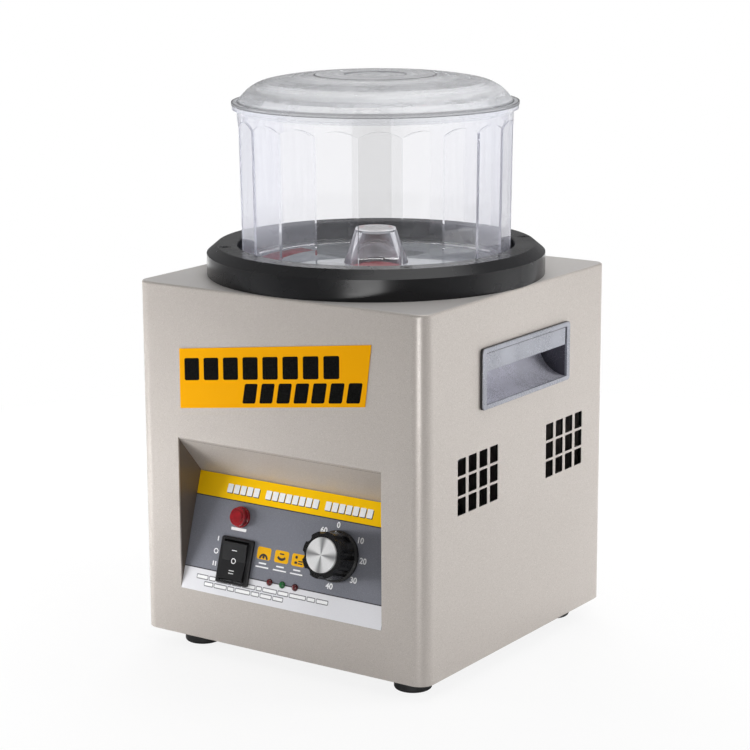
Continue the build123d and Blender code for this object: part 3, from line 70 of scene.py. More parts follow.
class Finish:
    """A procedural material while it is being put together."""

    def __init__(self, name, **sockets):
        self.material = bpy.data.materials.new(name)
        self.material.use_nodes = True
        self.tree = self.material.node_tree
        self.bsdf = self.tree.nodes["Principled BSDF"]
        self.output = self.tree.nodes["Material Output"]
        self.place = self.add("ShaderNodeTexCoord").outputs["Object"]
        for socket, value in sockets.items():
            self.set(socket.replace("_", " "), value)

    def plug(self, socket, value):
        if isinstance(value, bpy.types.NodeSocket):
            self.tree.links.new(value, socket)
        else:
            socket.default_value = value

    def set(self, socket, value):
        self.plug(self.bsdf.inputs[socket], value)

    def add(self, kind, inputs=None, **settings):
        node = self.tree.nodes.new(kind)
        for setting, value in settings.items():
            setattr(node, setting, value)
        for socket, value in (inputs or {}).items():
            self.plug(node.inputs[socket], value)
        return node

    def noise(self, size, detail=2.0, stretch=(1, 1, 1)):
        """Noise from 0 to 1 whose blotches are about `size` metres across, before stretching."""
        inputs = {"Vector": self.place, "Scale": tuple(1 / (size * s) for s in stretch)}
        mapping = self.add("ShaderNodeMapping", inputs)
        return self.add(
            "ShaderNodeTexNoise", {"Vector": mapping.outputs[0], "Scale": 1.0, "Detail": detail}
        ).outputs["Fac"]

    def math(self, operation, a, b=0.0, clamp=False):
        node = self.add("ShaderNodeMath", {0: a, 1: b}, operation=operation)
        node.use_clamp = clamp
        return node.outputs[0]

    def vector(self, operation, a, b=(0, 0, 0)):
        node = self.add("ShaderNodeVectorMath", {0: a, 1: b}, operation=operation)
        return node.outputs["Value" if operation in ("DOT_PRODUCT", "LENGTH") else "Vector"]

    def ramp(self, value, low, high, to_low=0.0, to_high=1.0):
        """`value` between low and high becomes a number between to_low and to_high."""
        inputs = {
            "Value": value,
            "From Min": low,
            "From Max": high,
            "To Min": to_low,
            "To Max": to_high,
        }
        return self.add("ShaderNodeMapRange", inputs).outputs[0]

    def mix(self, factor, a, b):
        node = self.add("ShaderNodeMix", data_type="RGBA")
        self.plug(node.inputs["Factor"], factor)
        self.plug(node.inputs["A"], a)
        self.plug(node.inputs["B"], b)
        return node.outputs["Result"]

    def bump(self, height, depth, normal=None):
        """Relief `depth` metres deep where `height` is 1."""
        inputs = {"Height": height, "Distance": depth, "Strength": 1.0}
        if normal is not None:
            inputs["Normal"] = normal
        return self.add("ShaderNodeBump", inputs).outputs["Normal"]

    def coordinate(self, origin, direction):
        """Distance in metres from origin along a direction."""
        return self.vector(
            "DOT_PRODUCT", self.vector("SUBTRACT", self.place, tuple(origin)), tuple(direction)
        )

    def height(self):
        """Height in the frame, metres."""
        return self.coordinate((0, 0, 0), (0, 0, 1))

    def true_normal(self):
        return self.add("ShaderNodeNewGeometry").outputs["True Normal"]

    def both(self, first, second):
        return self.math("MULTIPLY", first, second)

    def inverse(self, value):
        return self.math("SUBTRACT", 1.0, value)

    def step(self, value, edge, blur=0.00005):
        """0 below the edge, 1 above it, with a hairline of softness."""
        return self.ramp(value, edge - blur, edge + blur)


def moulded(name, base, roughness=0.4, grain=0.0006, relief=0.000012, repaint=None, **sockets):
    """Moulded plastic or rubber: a fine spark-eroded grain and a little handling shine.
    `repaint` is a function that takes the finish and its blotchy colour and gives a new colour."""
    worn_shine = 0.12
    finish = Finish(name, **sockets)
    blotch = finish.noise(0.03, 3)
    grain_height = finish.noise(grain, 3)
    shade = finish.mix(finish.ramp(blotch, 0.35, 0.7), base, scaled(base, 1.25, 0.004))
    finish.set("Base Color", repaint(finish, shade) if repaint else shade)
    shine = finish.math("MULTIPLY", finish.ramp(blotch, 0.3, 0.75), worn_shine)
    grainy = finish.ramp(grain_height, 0.2, 0.8, roughness - 0.05, roughness + 0.08)
    finish.set("Roughness", finish.math("SUBTRACT", grainy, shine))
    finish.set("Normal", finish.bump(grain_height, relief))
    return finish


def metal(name, base, roughness=0.3, stretch=(1, 1, 1), grain=0.0008, relief=0.000006, **sockets):
    """Bare or plated metal: drawn or rolled grain, faint stains, fine scratches."""
    finish = Finish(name, Metallic=1.0, **sockets)
    stain = finish.noise(0.02, 4)
    lines = finish.noise(grain, 3, stretch)
    finish.set("Base Color", finish.mix(finish.ramp(stain, 0.35, 0.75), base, scaled(base, 0.78)))
    rough = finish.math(
        "ADD",
        finish.ramp(lines, 0.25, 0.75, roughness - 0.06, roughness + 0.08),
        finish.ramp(stain, 0.4, 0.8, 0.0, 0.1),
    )
    finish.set("Roughness", rough)
    finish.set("Normal", finish.bump(lines, relief))
    return finish


# ---------------------------------------------------------------- finishes: the casing and its panel

# The casing's sheet steel, metres
shell_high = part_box("housing_shell")[1]
corner_radius = 0.010
sheet = 0.0015
side_wall_zone = 2 * sheet
# How far into a cut edge the casing colour reaches before the painted shade: most of it on the front wall, little
# on the side vents
painted_edge, vent_edge_before_shade = 0.9 * sheet, 0.2 * sheet
far_away = 10.0


def inside_of_casing(finish):
    """1 on the inner faces of the sheet and the cut edges of the side vents, 0 on the outer skin."""
    across = finish.vector("ABSOLUTE", finish.place)
    flat_half = (shell_high.x - corner_radius, shell_high.y - corner_radius, far_away)
    past_flat = finish.vector("MAXIMUM", finish.vector("SUBTRACT", across, flat_half), (0, 0, 0))
    depth = finish.math("SUBTRACT", corner_radius, finish.vector("LENGTH", past_flat))
    height = finish.height()
    below_top = finish.inverse(finish.step(height, shell_high.z - sheet))
    sideways = finish.add("ShaderNodeSeparateXYZ", {"Vector": across}).outputs["X"]
    in_side_wall = finish.step(sideways, shell_high.x - side_wall_zone)
    skin = finish.ramp(in_side_wall, 0, 1, painted_edge, vent_edge_before_shade)
    under_skin = finish.math("SUBTRACT", depth, skin)
    return finish.both(finish.step(under_skin, 0.0), below_top)


def casing_paint(name, painted_inner_shade=None, painted_cheek_shade=None):
    """Beige metallic powder coat: a pebbled skin with fine flakes, rubbed at the top edge, where a thin painted
    highlight also lies; painted light on the top plate, and painted shade inside the casing and on the recess
    cheeks where asked.
    """
    rub_and_highlight_strength, top_light_strength = 0.5, 0.7
    rub_reach, rub_full = 0.0016, 0.0002
    finish = Finish(name, Metallic=0.35, Coat_Weight=0.3, Coat_Roughness=0.2)
    flakes = finish.noise(0.00045, 2)
    pebbles = finish.noise(0.0012, 3)
    clouds = finish.noise(0.09, 3)
    paint = finish.mix(
        finish.ramp(clouds, 0.3, 0.7), colour(186, 179, 173), colour(190, 183, 177)
    )
    paint = finish.mix(finish.ramp(flakes, 0.58, 0.75), paint, colour(212, 206, 201))
    paint = finish.mix(finish.ramp(flakes, 0.42, 0.25), paint, colour(158, 150, 143))
    # a thin lighter line along the top edge: rubbed paint where hands and cloths reach it, and a painted highlight
    # on the edge
    height = finish.height()
    edge = finish.ramp(height, shell_high.z - rub_reach, shell_high.z - rub_full)
    rubbed_and_highlight = finish.both(edge, finish.ramp(clouds, 0.45, 0.65, 0.0, rub_and_highlight_strength))
    paint = finish.mix(rubbed_and_highlight, paint, colour(206, 200, 194))
    # painted light: the faces that point up are painted paler
    normal = finish.true_normal()
    facing_up = finish.vector("DOT_PRODUCT", normal, (0, 0, 1))
    painted_top_light = finish.ramp(facing_up, 0.9, 1.0, 0.0, top_light_strength)
    paint = finish.mix(painted_top_light, paint, colour(218, 215, 213))
    # painted shade: the inner faces of the sheet and the side vents' cut edges are painted near black
    if painted_inner_shade:
        paint = finish.mix(inside_of_casing(finish), paint, painted_inner_shade)
    if painted_cheek_shade:
        # painted shade: the cheeks of the recess are painted darker
        sideways = finish.math("ABSOLUTE", finish.vector("DOT_PRODUCT", normal, (1, 0, 0)))
        paint = finish.mix(finish.step(sideways, 0.9, 0.01), paint, painted_cheek_shade)
    finish.set("Base Color", paint)
    finish.set("Roughness", finish.ramp(pebbles, 0.3, 0.7, 0.38, 0.52))
    finish.set("Normal", finish.bump(pebbles, 0.00005))
    return finish


# The control panel: its frame, and its printed bands in millimetres from its lower left corner
timer_centre = Vector(joints["timer_turn"]["pos_m"])
panel_normal = -Vector(joints["timer_turn"]["axis"])
panel_across = Vector((1, 0, 0))
panel_up = panel_normal.cross(panel_across)
timer_across, timer_up = 39.5, 41.5
panel_origin = timer_centre - (timer_across * panel_across + timer_up * panel_up) * MM
panel_face = 0.6
silver_edge, yellow_edge = 16.0, 65.0
band_line = 0.35


def on_panel(across, up, out):
    """A place on the control panel, in millimetres over its printed face."""
    return panel_origin + (
        across * panel_across + up * panel_up + (panel_face + out) * panel_normal
    ) * MM


def panel_print():
    """Printed polycarbonate overlay: silver, grey and yellow bands with dark lines between."""
    finish = Finish("panel_print", Specular_IOR_Level=0.15)
    up = finish.coordinate(panel_origin, panel_up)
    speckle = finish.noise(0.0004, 2)
    clouds = finish.noise(0.05, 2)
    grey = finish.mix(finish.ramp(clouds, 0.3, 0.7), colour(118, 120, 128), colour(125, 127, 136))
    grey = finish.mix(finish.ramp(speckle, 0.5, 0.8), grey, colour(146, 147, 156))
    silver = finish.mix(speckle, colour(218, 218, 222), colour(234, 234, 238))
    yellow = finish.mix(clouds, colour(255, 198, 0), colour(255, 204, 0))
    bands = finish.mix(finish.step(up, silver_edge * MM), silver, grey)
    bands = finish.mix(finish.step(up, yellow_edge * MM), bands, yellow)
    for level in (silver_edge, yellow_edge):
        gap = finish.math("ABSOLUTE", finish.math("SUBTRACT", up, level * MM))
        line = finish.inverse(finish.step(gap, band_line * MM))
        bands = finish.mix(line, bands, colour(58, 56, 60))
    finish.set("Base Color", bands)
    finish.set("Roughness", finish.ramp(speckle, 0.2, 0.8, 0.34, 0.48))
    finish.set("Normal", finish.bump(speckle, 0.000008))
    return finish


def label_yellow():
    """Yellow vinyl sticker with a satin laminate and a faint painted glow."""
    painted_glow = colour(255, 180, 0)
    # painted glow: a faint emission brightens the sticker, though it is no lamp
    finish = Finish(
        "label_yellow", Specular_IOR_Level=0.05, Emission_Color=painted_glow, Emission_Strength=0.06
    )
    clouds = finish.noise(0.06, 2)
    skin = finish.noise(0.0025, 3)
    finish.set("Base Color", finish.mix(clouds, colour(226, 158, 0), colour(232, 163, 0)))
    finish.set("Roughness", finish.ramp(skin, 0.3, 0.7, 0.36, 0.46))
    finish.set("Normal", finish.bump(skin, 0.00001))
    return finish


# ---------------------------------------------------------------- finishes: ring, floor, bowl


def ring_black():
    """Satin black moulding, its fine turned texture polished by the bowl."""
    finish = Finish("ring_black", Specular_IOR_Level=0.3)
    grain = finish.noise(0.0007, 3)
    smears = finish.noise(0.03, 4)
    finish.set("Base Color", finish.mix(smears, colour(14, 14, 16), colour(24, 24, 27)))
    finish.set("Roughness", finish.ramp(smears, 0.3, 0.7, 0.2, 0.32))
    finish.set("Normal", finish.bump(grain, 0.000012))
    return finish


def radius_from_axis(finish):
    """Distance from the machine's vertical axis."""
    flat = finish.vector("MULTIPLY", finish.place, (1, 1, 0))
    return finish.vector("LENGTH", flat)


def grooved(finish, distance, pitch):
    """Fine parallel or concentric grooves, from 0 to 1, repeated every `pitch` metres."""
    wave = finish.math("SINE", finish.math("MULTIPLY", distance, 2 * math.pi / pitch))
    return finish.ramp(wave, -1, 1)


def floor_metal():
    """Turned plate at the bottom of the well."""
    floor_groove_pitch = 0.0006
    finish = metal("floor_metal", colour(205, 206, 208), 0.34)
    grooves = grooved(finish, radius_from_axis(finish), floor_groove_pitch)
    finish.set("Normal", finish.bump(grooves, 0.00001))
    return finish


def label_red():
    """Round sticker: silver ground with two red arcs near its edge and a red disc in the middle."""
    finish = Finish("label_red", Coat_Weight=0.5, Coat_Roughness=0.12)
    radius = radius_from_axis(finish)
    clouds = finish.noise(0.03, 3)
    silver = finish.mix(clouds, colour(196, 196, 199), colour(214, 214, 216))
    red = finish.mix(clouds, colour(165, 28, 38), colour(186, 38, 48))
    disc_radius, arc_inside, arc_outside = 0.0195, 0.066, 0.0815
    heading, half_arc = math.radians(8), math.radians(24)
    middle = finish.inverse(finish.step(radius, disc_radius))
    edge = finish.inverse(finish.step(radius, arc_outside))
    band = finish.both(finish.step(radius, arc_inside), edge)
    # two arcs of the band, on opposite sides
    along = finish.coordinate((0, 0, 0), (math.cos(heading), math.sin(heading), 0))
    towards = finish.math("DIVIDE", finish.math("ABSOLUTE", along), radius)
    arcs = finish.both(band, finish.step(towards, math.cos(half_arc), 0.002))
    red_parts = finish.math("ADD", middle, arcs, clamp=True)
    finish.set("Base Color", finish.mix(red_parts, silver, red))
    finish.set("Roughness", finish.ramp(clouds, 0.3, 0.7, 0.22, 0.34))
    finish.set("Normal", finish.bump(finish.noise(0.004, 2), 0.00002))
    return finish


def mix_shader(finish, factor, first, second):
    both = finish.add("ShaderNodeMixShader")
    finish.plug(both.inputs[0], factor)
    finish.plug(both.inputs[1], first)
    finish.plug(both.inputs[2], second)
    return both.outputs[0]


def clear_plastic(name, tint, haze, haze_shade, ripple_depth, seams=()):
    """Clear moulded plastic: slightly wavy, hazed by use, and open to light in the shadows.
    `tint` is a colour or a function that gives one, `haze` a function that gives the milky share
    of the surface, and `seams` the radii of steps in the moulding, where dark lines of painted shade are drawn."""
    seam_half_width, step_shade_cover = 0.0003, 0.6
    finish = Finish(name, Transmission_Weight=1.0, IOR=1.42)
    finish.set("Base Color", tint(finish) if callable(tint) else tint)
    ripple = finish.noise(0.05, 2)
    scratches = finish.noise(0.0012, 4, stretch=(1, 1, 14))
    scuffs = finish.ramp(scratches, 0.62, 0.8)
    finish.set("Roughness", finish.ramp(scuffs, 0, 1, 0.01, 0.11))
    wavy = finish.bump(ripple, ripple_depth)
    finish.set("Normal", finish.bump(scuffs, 0.000004, wavy))
    milky_share = haze(finish)
    radius = radius_from_axis(finish)
    for seam_radius in seams:
        off_seam = finish.math("ABSOLUTE", finish.math("SUBTRACT", radius, seam_radius))
        # painted shade: a thin dark line along each step of the moulding
        painted_step_shade = finish.ramp(off_seam, seam_half_width, 3 * seam_half_width, 1.0, 0.0)
        haze_shade = finish.mix(painted_step_shade, haze_shade, colour(104, 104, 106))
        milky_share = finish.math("MAXIMUM", milky_share, finish.both(painted_step_shade, step_shade_cover))
    film = finish.add("ShaderNodeBsdfDiffuse", {"Color": haze_shade}).outputs[0]
    through_film = finish.add("ShaderNodeBsdfTranslucent", {"Color": haze_shade}).outputs[0]
    milky = mix_shader(finish, 0.5, film, through_film)
    surface = mix_shader(finish, milky_share, finish.bsdf.outputs[0], milky)
    path = finish.add("ShaderNodeLightPath").outputs
    passing = finish.math("MAXIMUM", path["Is Shadow Ray"], path["Is Diffuse Ray"])
    open_air = finish.add("ShaderNodeBsdfTransparent", {"Color": (0.93, 0.94, 0.95, 1)})
    surface = mix_shader(finish, passing, surface, open_air.outputs[0])
    finish.plug(finish.output.inputs["Surface"], surface)
    return finish


# The bowl's flats, the heading of the one that faces the camera, and the radii of the lid's steps
bowl_flats = 20
camera_heading = math.radians(-54)
lid_seams = (0.0206, 0.0408, 0.0923, 0.0961)


def flat_heading(finish):
    """The heading of a surface round the vertical axis, and how upright the surface is."""
    normal = finish.true_normal()
    split = finish.add("ShaderNodeSeparateXYZ", {"Vector": normal}).outputs
    upright = finish.inverse(finish.math("ABSOLUTE", split["Z"]))
    return finish.math("ARCTAN2", split["Y"], split["X"]), upright


def facing_camera(finish, heading):
    """1 on the flat that faces the camera, 0 on those beside and behind the axis."""
    turned = finish.math("COSINE", finish.math("SUBTRACT", heading, camera_heading))
    return finish.math("MAXIMUM", turned, 0.0)


def bowl_tint(finish):
    """The flat that faces the camera is tinted grey, a painted shade; the rest is nearly clear."""
    heading, upright = flat_heading(finish)
    one_flat_only = 40.0
    camera_flat_shade = finish.math("POWER", facing_camera(finish, heading), one_flat_only)
    clear, grey = (0.985, 0.985, 0.995, 1), (0.86, 0.86, 0.865, 1)
    return finish.mix(finish.both(camera_flat_shade, upright), clear, grey)


def flat_haze(finish):
    """The flats at the sides are scuffed milky, each to its own degree; lip and floor stay clear."""
    heading, upright = flat_heading(finish)
    turn = finish.math("ROUND", finish.math("DIVIDE", heading, 2 * math.pi / bowl_flats))
    chance = finish.add("ShaderNodeTexWhiteNoise", {"W": turn}, noise_dimensions="1D")
    scuffed = finish.ramp(facing_camera(finish, heading), 0.97, 0.55, 0.01, 0.17)
    worn = finish.both(scuffed, finish.ramp(chance.outputs["Value"], 0, 1, 0.6, 1.3))
    streaks = finish.ramp(finish.noise(0.004, 3, stretch=(1, 1, 12)), 0.3, 0.7, 0.75, 1.25)
    return finish.both(finish.both(worn, streaks), upright)


def lid_haze(finish):
    """The lid is handled all over: a milky film with faint streaks round the dome."""
    streaks_per_metre = 220
    across = finish.math("MULTIPLY", radius_from_axis(finish), streaks_per_metre)
    cloud = finish.noise(0.02, 4)
    streak_place = finish.add("ShaderNodeCombineXYZ", {"X": across})
    streaks = finish.add(
        "ShaderNodeTexNoise", {"Vector": streak_place.outputs[0], "Scale": 1.0, "Detail": 4.0}
    ).outputs["Fac"]
    base = finish.ramp(cloud, 0.3, 0.7, 0.26, 0.42)
    return finish.both(base, finish.ramp(streaks, 0.3, 0.7, 0.7, 1.3))


# ---------------------------------------------------------------- finishes: lamps, knob, small parts

# The side grips, in millimetres
handle_window_length, handle_window_height = 103.5, 34.3
handle_lip = 1.6
face_depth = 0.7
grip_plate_bottom = 204.5
seam = 0.8


def lens(name, shade, painted_glow):
    """Coloured translucent plastic with moulded-in flow marks."""
    finish = Finish(name, Transmission_Weight=0.15, IOR=1.45, Coat_Weight=0.6, Coat_Roughness=0.04)
    flow = finish.noise(0.0035, 2)
    finish.set("Base Color", finish.mix(flow, shade, painted_glow))
    finish.set("Roughness", finish.ramp(flow, 0.3, 0.7, 0.12, 0.24))
    finish.set("Normal", finish.bump(flow, 0.00002))
    return finish


def grip_colours(finish, base):
    """A seam round the grip plate, painted light that makes the scoop paler, and painted shade on the scoop's end
    walls.
    """
    low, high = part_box("handle_right")
    centre = (low + high) / 2
    outward = finish.math("ABSOLUTE", finish.coordinate((0, 0, 0), (1, 0, 0)))
    deep = finish.inverse(finish.step(outward, high.x - handle_lip * MM, 0.0002))
    face = finish.inverse(finish.step(outward, high.x - face_depth * MM))
    along = finish.math("ABSOLUTE", finish.coordinate(centre, (0, 1, 0)))
    near_side = finish.step(along, (handle_window_length / 2 - seam) * MM)
    window_top = centre.z + handle_window_height / 2 * MM
    near_top = finish.step(finish.height(), window_top - seam * MM)
    plate_only = finish.step(finish.height(), grip_plate_bottom * MM)
    near_rim = finish.math("MAXIMUM", near_side, near_top)
    seam_line = finish.both(face, finish.both(plate_only, near_rim))
    lengthways = finish.vector("DOT_PRODUCT", finish.true_normal(), (0, 1, 0))
    end_wall = finish.step(finish.math("ABSOLUTE", lengthways), 0.9, 0.01)
    # painted light: the scoop is painted paler
    shade = finish.mix(deep, base, colour(200, 200, 211))
    # painted shade: the scoop's end walls are painted dark
    shade = finish.mix(finish.both(deep, end_wall), shade, colour(74, 73, 82))
    return finish.mix(seam_line, shade, colour(40, 41, 46))


def handle_plastic():
    """Grey moulding with a slight metallic fleck."""
    shade = colour(141, 143, 151)
    return moulded("handle_grey", shade, 0.3, grain=0.0008, repaint=grip_colours, Metallic=0.35)


def spun_cap():
    """Aluminium turned on a lathe: grooves round the knob's axis that pull the light into a star, and a star of
    grey arms painted into its colour as a painted reflection.
    """
    arm_sharpness, arm_strength = 7.0, 0.8
    cap_groove_pitch = 0.00035
    finish = Finish("spun_cap", Metallic=0.4, Anisotropic=0.85)
    outward = finish.vector("SUBTRACT", finish.place, tuple(timer_centre))
    tangent = finish.vector("CROSS_PRODUCT", outward, tuple(panel_normal))
    turned = finish.add(
        "ShaderNodeVectorTransform",
        {"Vector": tangent},
        vector_type="VECTOR",
        convert_from="OBJECT",
        convert_to="WORLD",
    ).outputs[0]
    finish.set("Tangent", finish.vector("NORMALIZE", turned))
    radius = finish.vector("LENGTH", tangent)
    grooves = grooved(finish, radius, cap_groove_pitch)
    uneven = finish.noise(0.0008, 3)
    # painted reflection: four grey arms between bright fans, painted into the colour like the star a turned face
    # shows
    across = finish.math("DIVIDE", finish.coordinate(timer_centre, panel_across), radius)
    squared = finish.math("MULTIPLY", across, across)
    double_turn = finish.math("ABSOLUTE", finish.ramp(squared, 0, 1, -1, 1))
    painted_star_arms = finish.both(finish.math("POWER", double_turn, arm_sharpness), arm_strength)
    fans = finish.mix(uneven, colour(236, 236, 237), colour(255, 255, 255))
    finish.set("Base Color", finish.mix(painted_star_arms, fans, colour(104, 104, 106)))
    finish.set("Roughness", finish.ramp(uneven, 0.2, 0.8, 0.34, 0.44))
    finish.set("Normal", finish.bump(grooves, 0.000006))
    return finish


def stacked_sheets():
    """Edge of a stack of thin electrical-steel sheets."""
    sheet_pitch = 0.001
    finish = metal("core_steel", colour(118, 118, 122), 0.42)
    sheets = grooved(finish, finish.height(), sheet_pitch)
    finish.set("Normal", finish.bump(sheets, 0.00012))
    return finish


def copper_turns():
    """Enamelled copper wound in bundles."""
    finish = metal("copper_wire", colour(186, 104, 56), 0.28, Coat_Weight=0.6)
    strands = finish.noise(0.0012, 2, stretch=(1, 1, 0.35))
    finish.set("Normal", finish.bump(strands, 0.0002))
    return finish


def circuit_board():
    """Green solder mask over copper tracks."""
    tracks_per_metre = 220.0
    finish = Finish("board_green", Coat_Weight=0.5, Coat_Roughness=0.15, Roughness=0.35)
    cells = finish.add(
        "ShaderNodeTexVoronoi",
        {"Vector": finish.place, "Scale": tracks_per_metre},
        distance="MANHATTAN",
    ).outputs["Distance"]
    tracks = finish.ramp(cells, 0.42, 0.46)
    finish.set("Base Color", finish.mix(tracks, colour(12, 84, 42), colour(20, 110, 58)))
    finish.set("Normal", finish.bump(tracks, 0.00003))
    return finish


def sleeve_colours(finish, base):
    """Each wire its own colour: red, blue or black."""
    chance = finish.add("ShaderNodeNewGeometry").outputs["Random Per Island"]
    red_or_blue = finish.mix(finish.step(chance, 1 / 3), base, colour(30, 62, 150))
    return finish.mix(finish.step(chance, 2 / 3), red_or_blue, colour(24, 24, 26))


def wire_sleeves():
    """PVC sleeves."""
    return moulded("wire_sleeve", colour(160, 28, 26), 0.35, grain=0.002, repaint=sleeve_colours)


def ink(name, shade, shine=0.15):
    """Screen-printing ink: a slightly uneven film."""
    finish = Finish(name, Specular_IOR_Level=shine)
    film = finish.noise(0.0007, 2)
    thin = scaled(shade, 0.88, 0.01)
    finish.set("Base Color", finish.mix(finish.ramp(film, 0.3, 0.75), shade, thin))
    finish.set("Roughness", finish.ramp(film, 0.2, 0.8, 0.4, 0.55))
    finish.set("Normal", finish.bump(film, 0.000008))
    return finish.material


finishes = {
    "casing_paint": casing_paint("casing_paint", painted_inner_shade=colour(14, 13, 13)),
    "zinc_steel": metal("zinc_steel", colour(190, 190, 186), 0.3),
    "panel_print": panel_print(),
    "label_yellow": label_yellow(),
    "ring_black": ring_black(),
    "floor_metal": floor_metal(),
    "label_red": label_red(),
    "black_screw": metal("black_screw", colour(52, 52, 54), 0.36),
    "handle_grey": handle_plastic(),
    "black_rubber": moulded("black_rubber", colour(26, 26, 27), 0.6, grain=0.001, relief=0.00004),
    "lens_red": lens("lens_red", colour(104, 0, 12), colour(188, 8, 28)),
    "led_red": lens("led_red", colour(74, 6, 14), colour(112, 14, 22)),
    "led_green": lens("led_green", colour(8, 92, 38), colour(14, 118, 52)),
    "black_plastic": moulded("black_plastic", colour(20, 20, 22), 0.4),
    "knob_black": moulded("knob_black", colour(10, 10, 11), 0.3, relief=0.000004),
    "spun_aluminium": metal("spun_aluminium", colour(206, 207, 210), 0.28),
    "board_green": circuit_board(),
    "relay_blue": moulded("relay_blue", colour(38, 84, 168), 0.4),
    "terminal_green": moulded("terminal_green", colour(44, 138, 84), 0.45),
    "white_plastic": moulded("white_plastic", colour(226, 225, 218), 0.42),
    "cast_aluminium": metal("cast_aluminium", colour(160, 161, 163), 0.5, relief=0.00004),
    "core_steel": stacked_sheets(),
    "copper_wire": copper_turns(),
    "bright_steel": metal("bright_steel", colour(206, 206, 208), 0.16, stretch=(1, 1, 0.2)),
    "magnet_nickel": metal("magnet_nickel", colour(200, 196, 188), 0.14),
    "brass": metal("brass", colour(204, 172, 96), 0.26),
    "fuse_glass": lens("fuse_glass", colour(226, 232, 232), colour(240, 244, 244)),
    "wire_sleeve": wire_sleeves(),
    "clear_plastic": clear_plastic(
        "clear_plastic", bowl_tint, flat_haze, colour(216, 216, 228), 0.0001
    ),
}
special_finishes = {
    "control_recess": casing_paint("recess_paint", painted_cheek_shade=colour(118, 108, 98)),
    "knob_cap": spun_cap(),
    "lid": clear_plastic(
        "clear_lid", (0.96, 0.96, 0.965, 1), lid_haze, colour(222, 222, 224), 0.0002, lid_seams
    ),
}

for subpart in frame["record"]["subparts"]:
    node_name = subpart["node"]
    chosen = special_finishes.get(node_name, finishes[subpart["material_slot"]])
    mesh = frame["nodes"][node_name].data
    mesh.materials.clear()
    mesh.materials.append(chosen.material)


# ---------------------------------------------------------------- printed marks: drawing helpers

# Thickness of the ink and its height over the surface, in millimetres
PRINT_FILM = 0.04
PRINT_LIFT = 0.01


def bar(x, y, width, height, lean=0.0, corner=0.3):
    """A bar with clipped corners centred on (x, y); lean shifts its top edge sideways."""
    right, top = width / 2, height / 2
    corner = min(corner, right / 2, top / 2)
    points = [
        (-right + corner, -top),
        (right - corner, -top),
        (right, -top + corner),
        (right, top - corner),
        (right - corner, top),
        (-right + corner, top),
        (-right, top - corner),
        (-right, -top + corner),
    ]
    return [[(x + px + lean * py / height, y + py) for px, py in points]]


def arc(x, y, radius, start, end, steps=24):
    """Points on an arc, angles in degrees."""
    angles = [math.radians(start + (end - start) * i / steps) for i in range(steps + 1)]
    return [(x + radius * math.cos(a), y + radius * math.sin(a)) for a in angles]


def disc(x, y, radius):
    """A disc of 24 corners; the last point stops one corner short of the first."""
    corners = 24
    return [arc(x, y, radius, 0, 360 - 360 / corners, corners - 1)]


def ring(x, y, radius, line):
    """Two loops: the fill between them is the ring."""
    return disc(x, y, radius) + disc(x, y, radius - line)


def filled(loops):
    """A thin solid mesh of the area inside closed loops, in millimetres, on the XY plane."""
    curve = bpy.data.curves.new("loops", "CURVE")
    curve.dimensions = "2D"
    curve.fill_mode = "BOTH"
    curve.extrude = PRINT_FILM / 2
    for points in loops:
        spline = curve.splines.new("POLY")
        spline.points.add(len(points) - 1)
        for point, (x, y) in zip(spline.points, points):
            point.co = (x, y, 0, 1)
        spline.use_cyclic_u = True
    return curve


def numeral(text, x, y, size):
    """A number centred on (x, y), as a text curve with thickened strokes."""
    stroke_weight = 0.16
    curve = bpy.data.curves.new("numeral", "FONT")
    curve.body = text
    curve.size = size
    curve.extrude = PRINT_FILM / 2
    curve.offset = stroke_weight
    curve.align_x = "CENTER"
    curve.align_y = "CENTER"
    curve.resolution_u = 4
    return curve, (x, y)


def print_piece(name, body, place, inks):
    """One piece made of thin printed shapes. `place` turns (x, y, height) in millimetres into a
    point of the frame; `inks` is a list of (material, list of drawings)."""
    vertices, faces, face_inks, materials = [], [], [], []
    for ink_index, (material, drawings) in enumerate(inks):
        materials.append(material)
        for drawing in drawings:
            is_text = isinstance(drawing, tuple)
            curve, (shift_x, shift_y) = drawing if is_text else (filled(drawing), (0, 0))
            holder = bpy.data.objects.new("drawing", curve)
            scene.collection.objects.link(holder)
            bpy.context.view_layer.update()
            shape = bpy.data.meshes.new_from_object(
                holder.evaluated_get(bpy.context.evaluated_depsgraph_get())
            )
            first = len(vertices)
            for vertex in shape.vertices:
                height = vertex.co.z + PRINT_FILM / 2 + PRINT_LIFT
                vertices.append(place(vertex.co.x + shift_x, vertex.co.y + shift_y, height))
            for polygon in shape.polygons:
                faces.append([first + index for index in polygon.vertices])
                face_inks.append(ink_index)
            bpy.data.objects.remove(holder)
            bpy.data.curves.remove(curve)
            bpy.data.meshes.remove(shape)
    mesh = bpy.data.meshes.new(name)
    mesh.from_pydata(vertices, [], faces)
    for material in materials:
        mesh.materials.append(material)
    for polygon, ink_index in zip(mesh.polygons, face_inks):
        polygon.material_index = ink_index
    mesh.update()
    piece = bpy.data.objects.new(name, mesh)
    scene.collection.objects.link(piece)
    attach(piece, body)
    return piece


white_ink = ink("white_ink", colour(250, 250, 251))
dark_ink = ink("dark_ink", colour(62, 60, 62))
black_ink = ink("black_ink", colour(4, 4, 3), shine=0.02)
yellow_ink = ink("yellow_ink", colour(246, 184, 20))
grey_ink = ink("grey_ink", colour(120, 120, 124))


# ---------------------------------------------------------------- printed marks: control panel

# Dial numbers: what is printed, and where, clockwise from straight up the panel
dial_numbers = {"0": -8, "10": 51, "20": 90, "30": 131, "40": 187, "50": 250, "60": 318}
dial_radius = 20.3
dial_digit_size = 5.4

# Pictogram tiles: where each begins and ends along the panel, and the rows under them
tile_spans = ((-24.0, -12.8), (-9.6, 1.8), (4.4, 15.0))
tile_up, tile_height = 34.0, 8.2
caption_rows = ((27.3, 1.0, 0.55), (24.8, 0.9, 0.95))

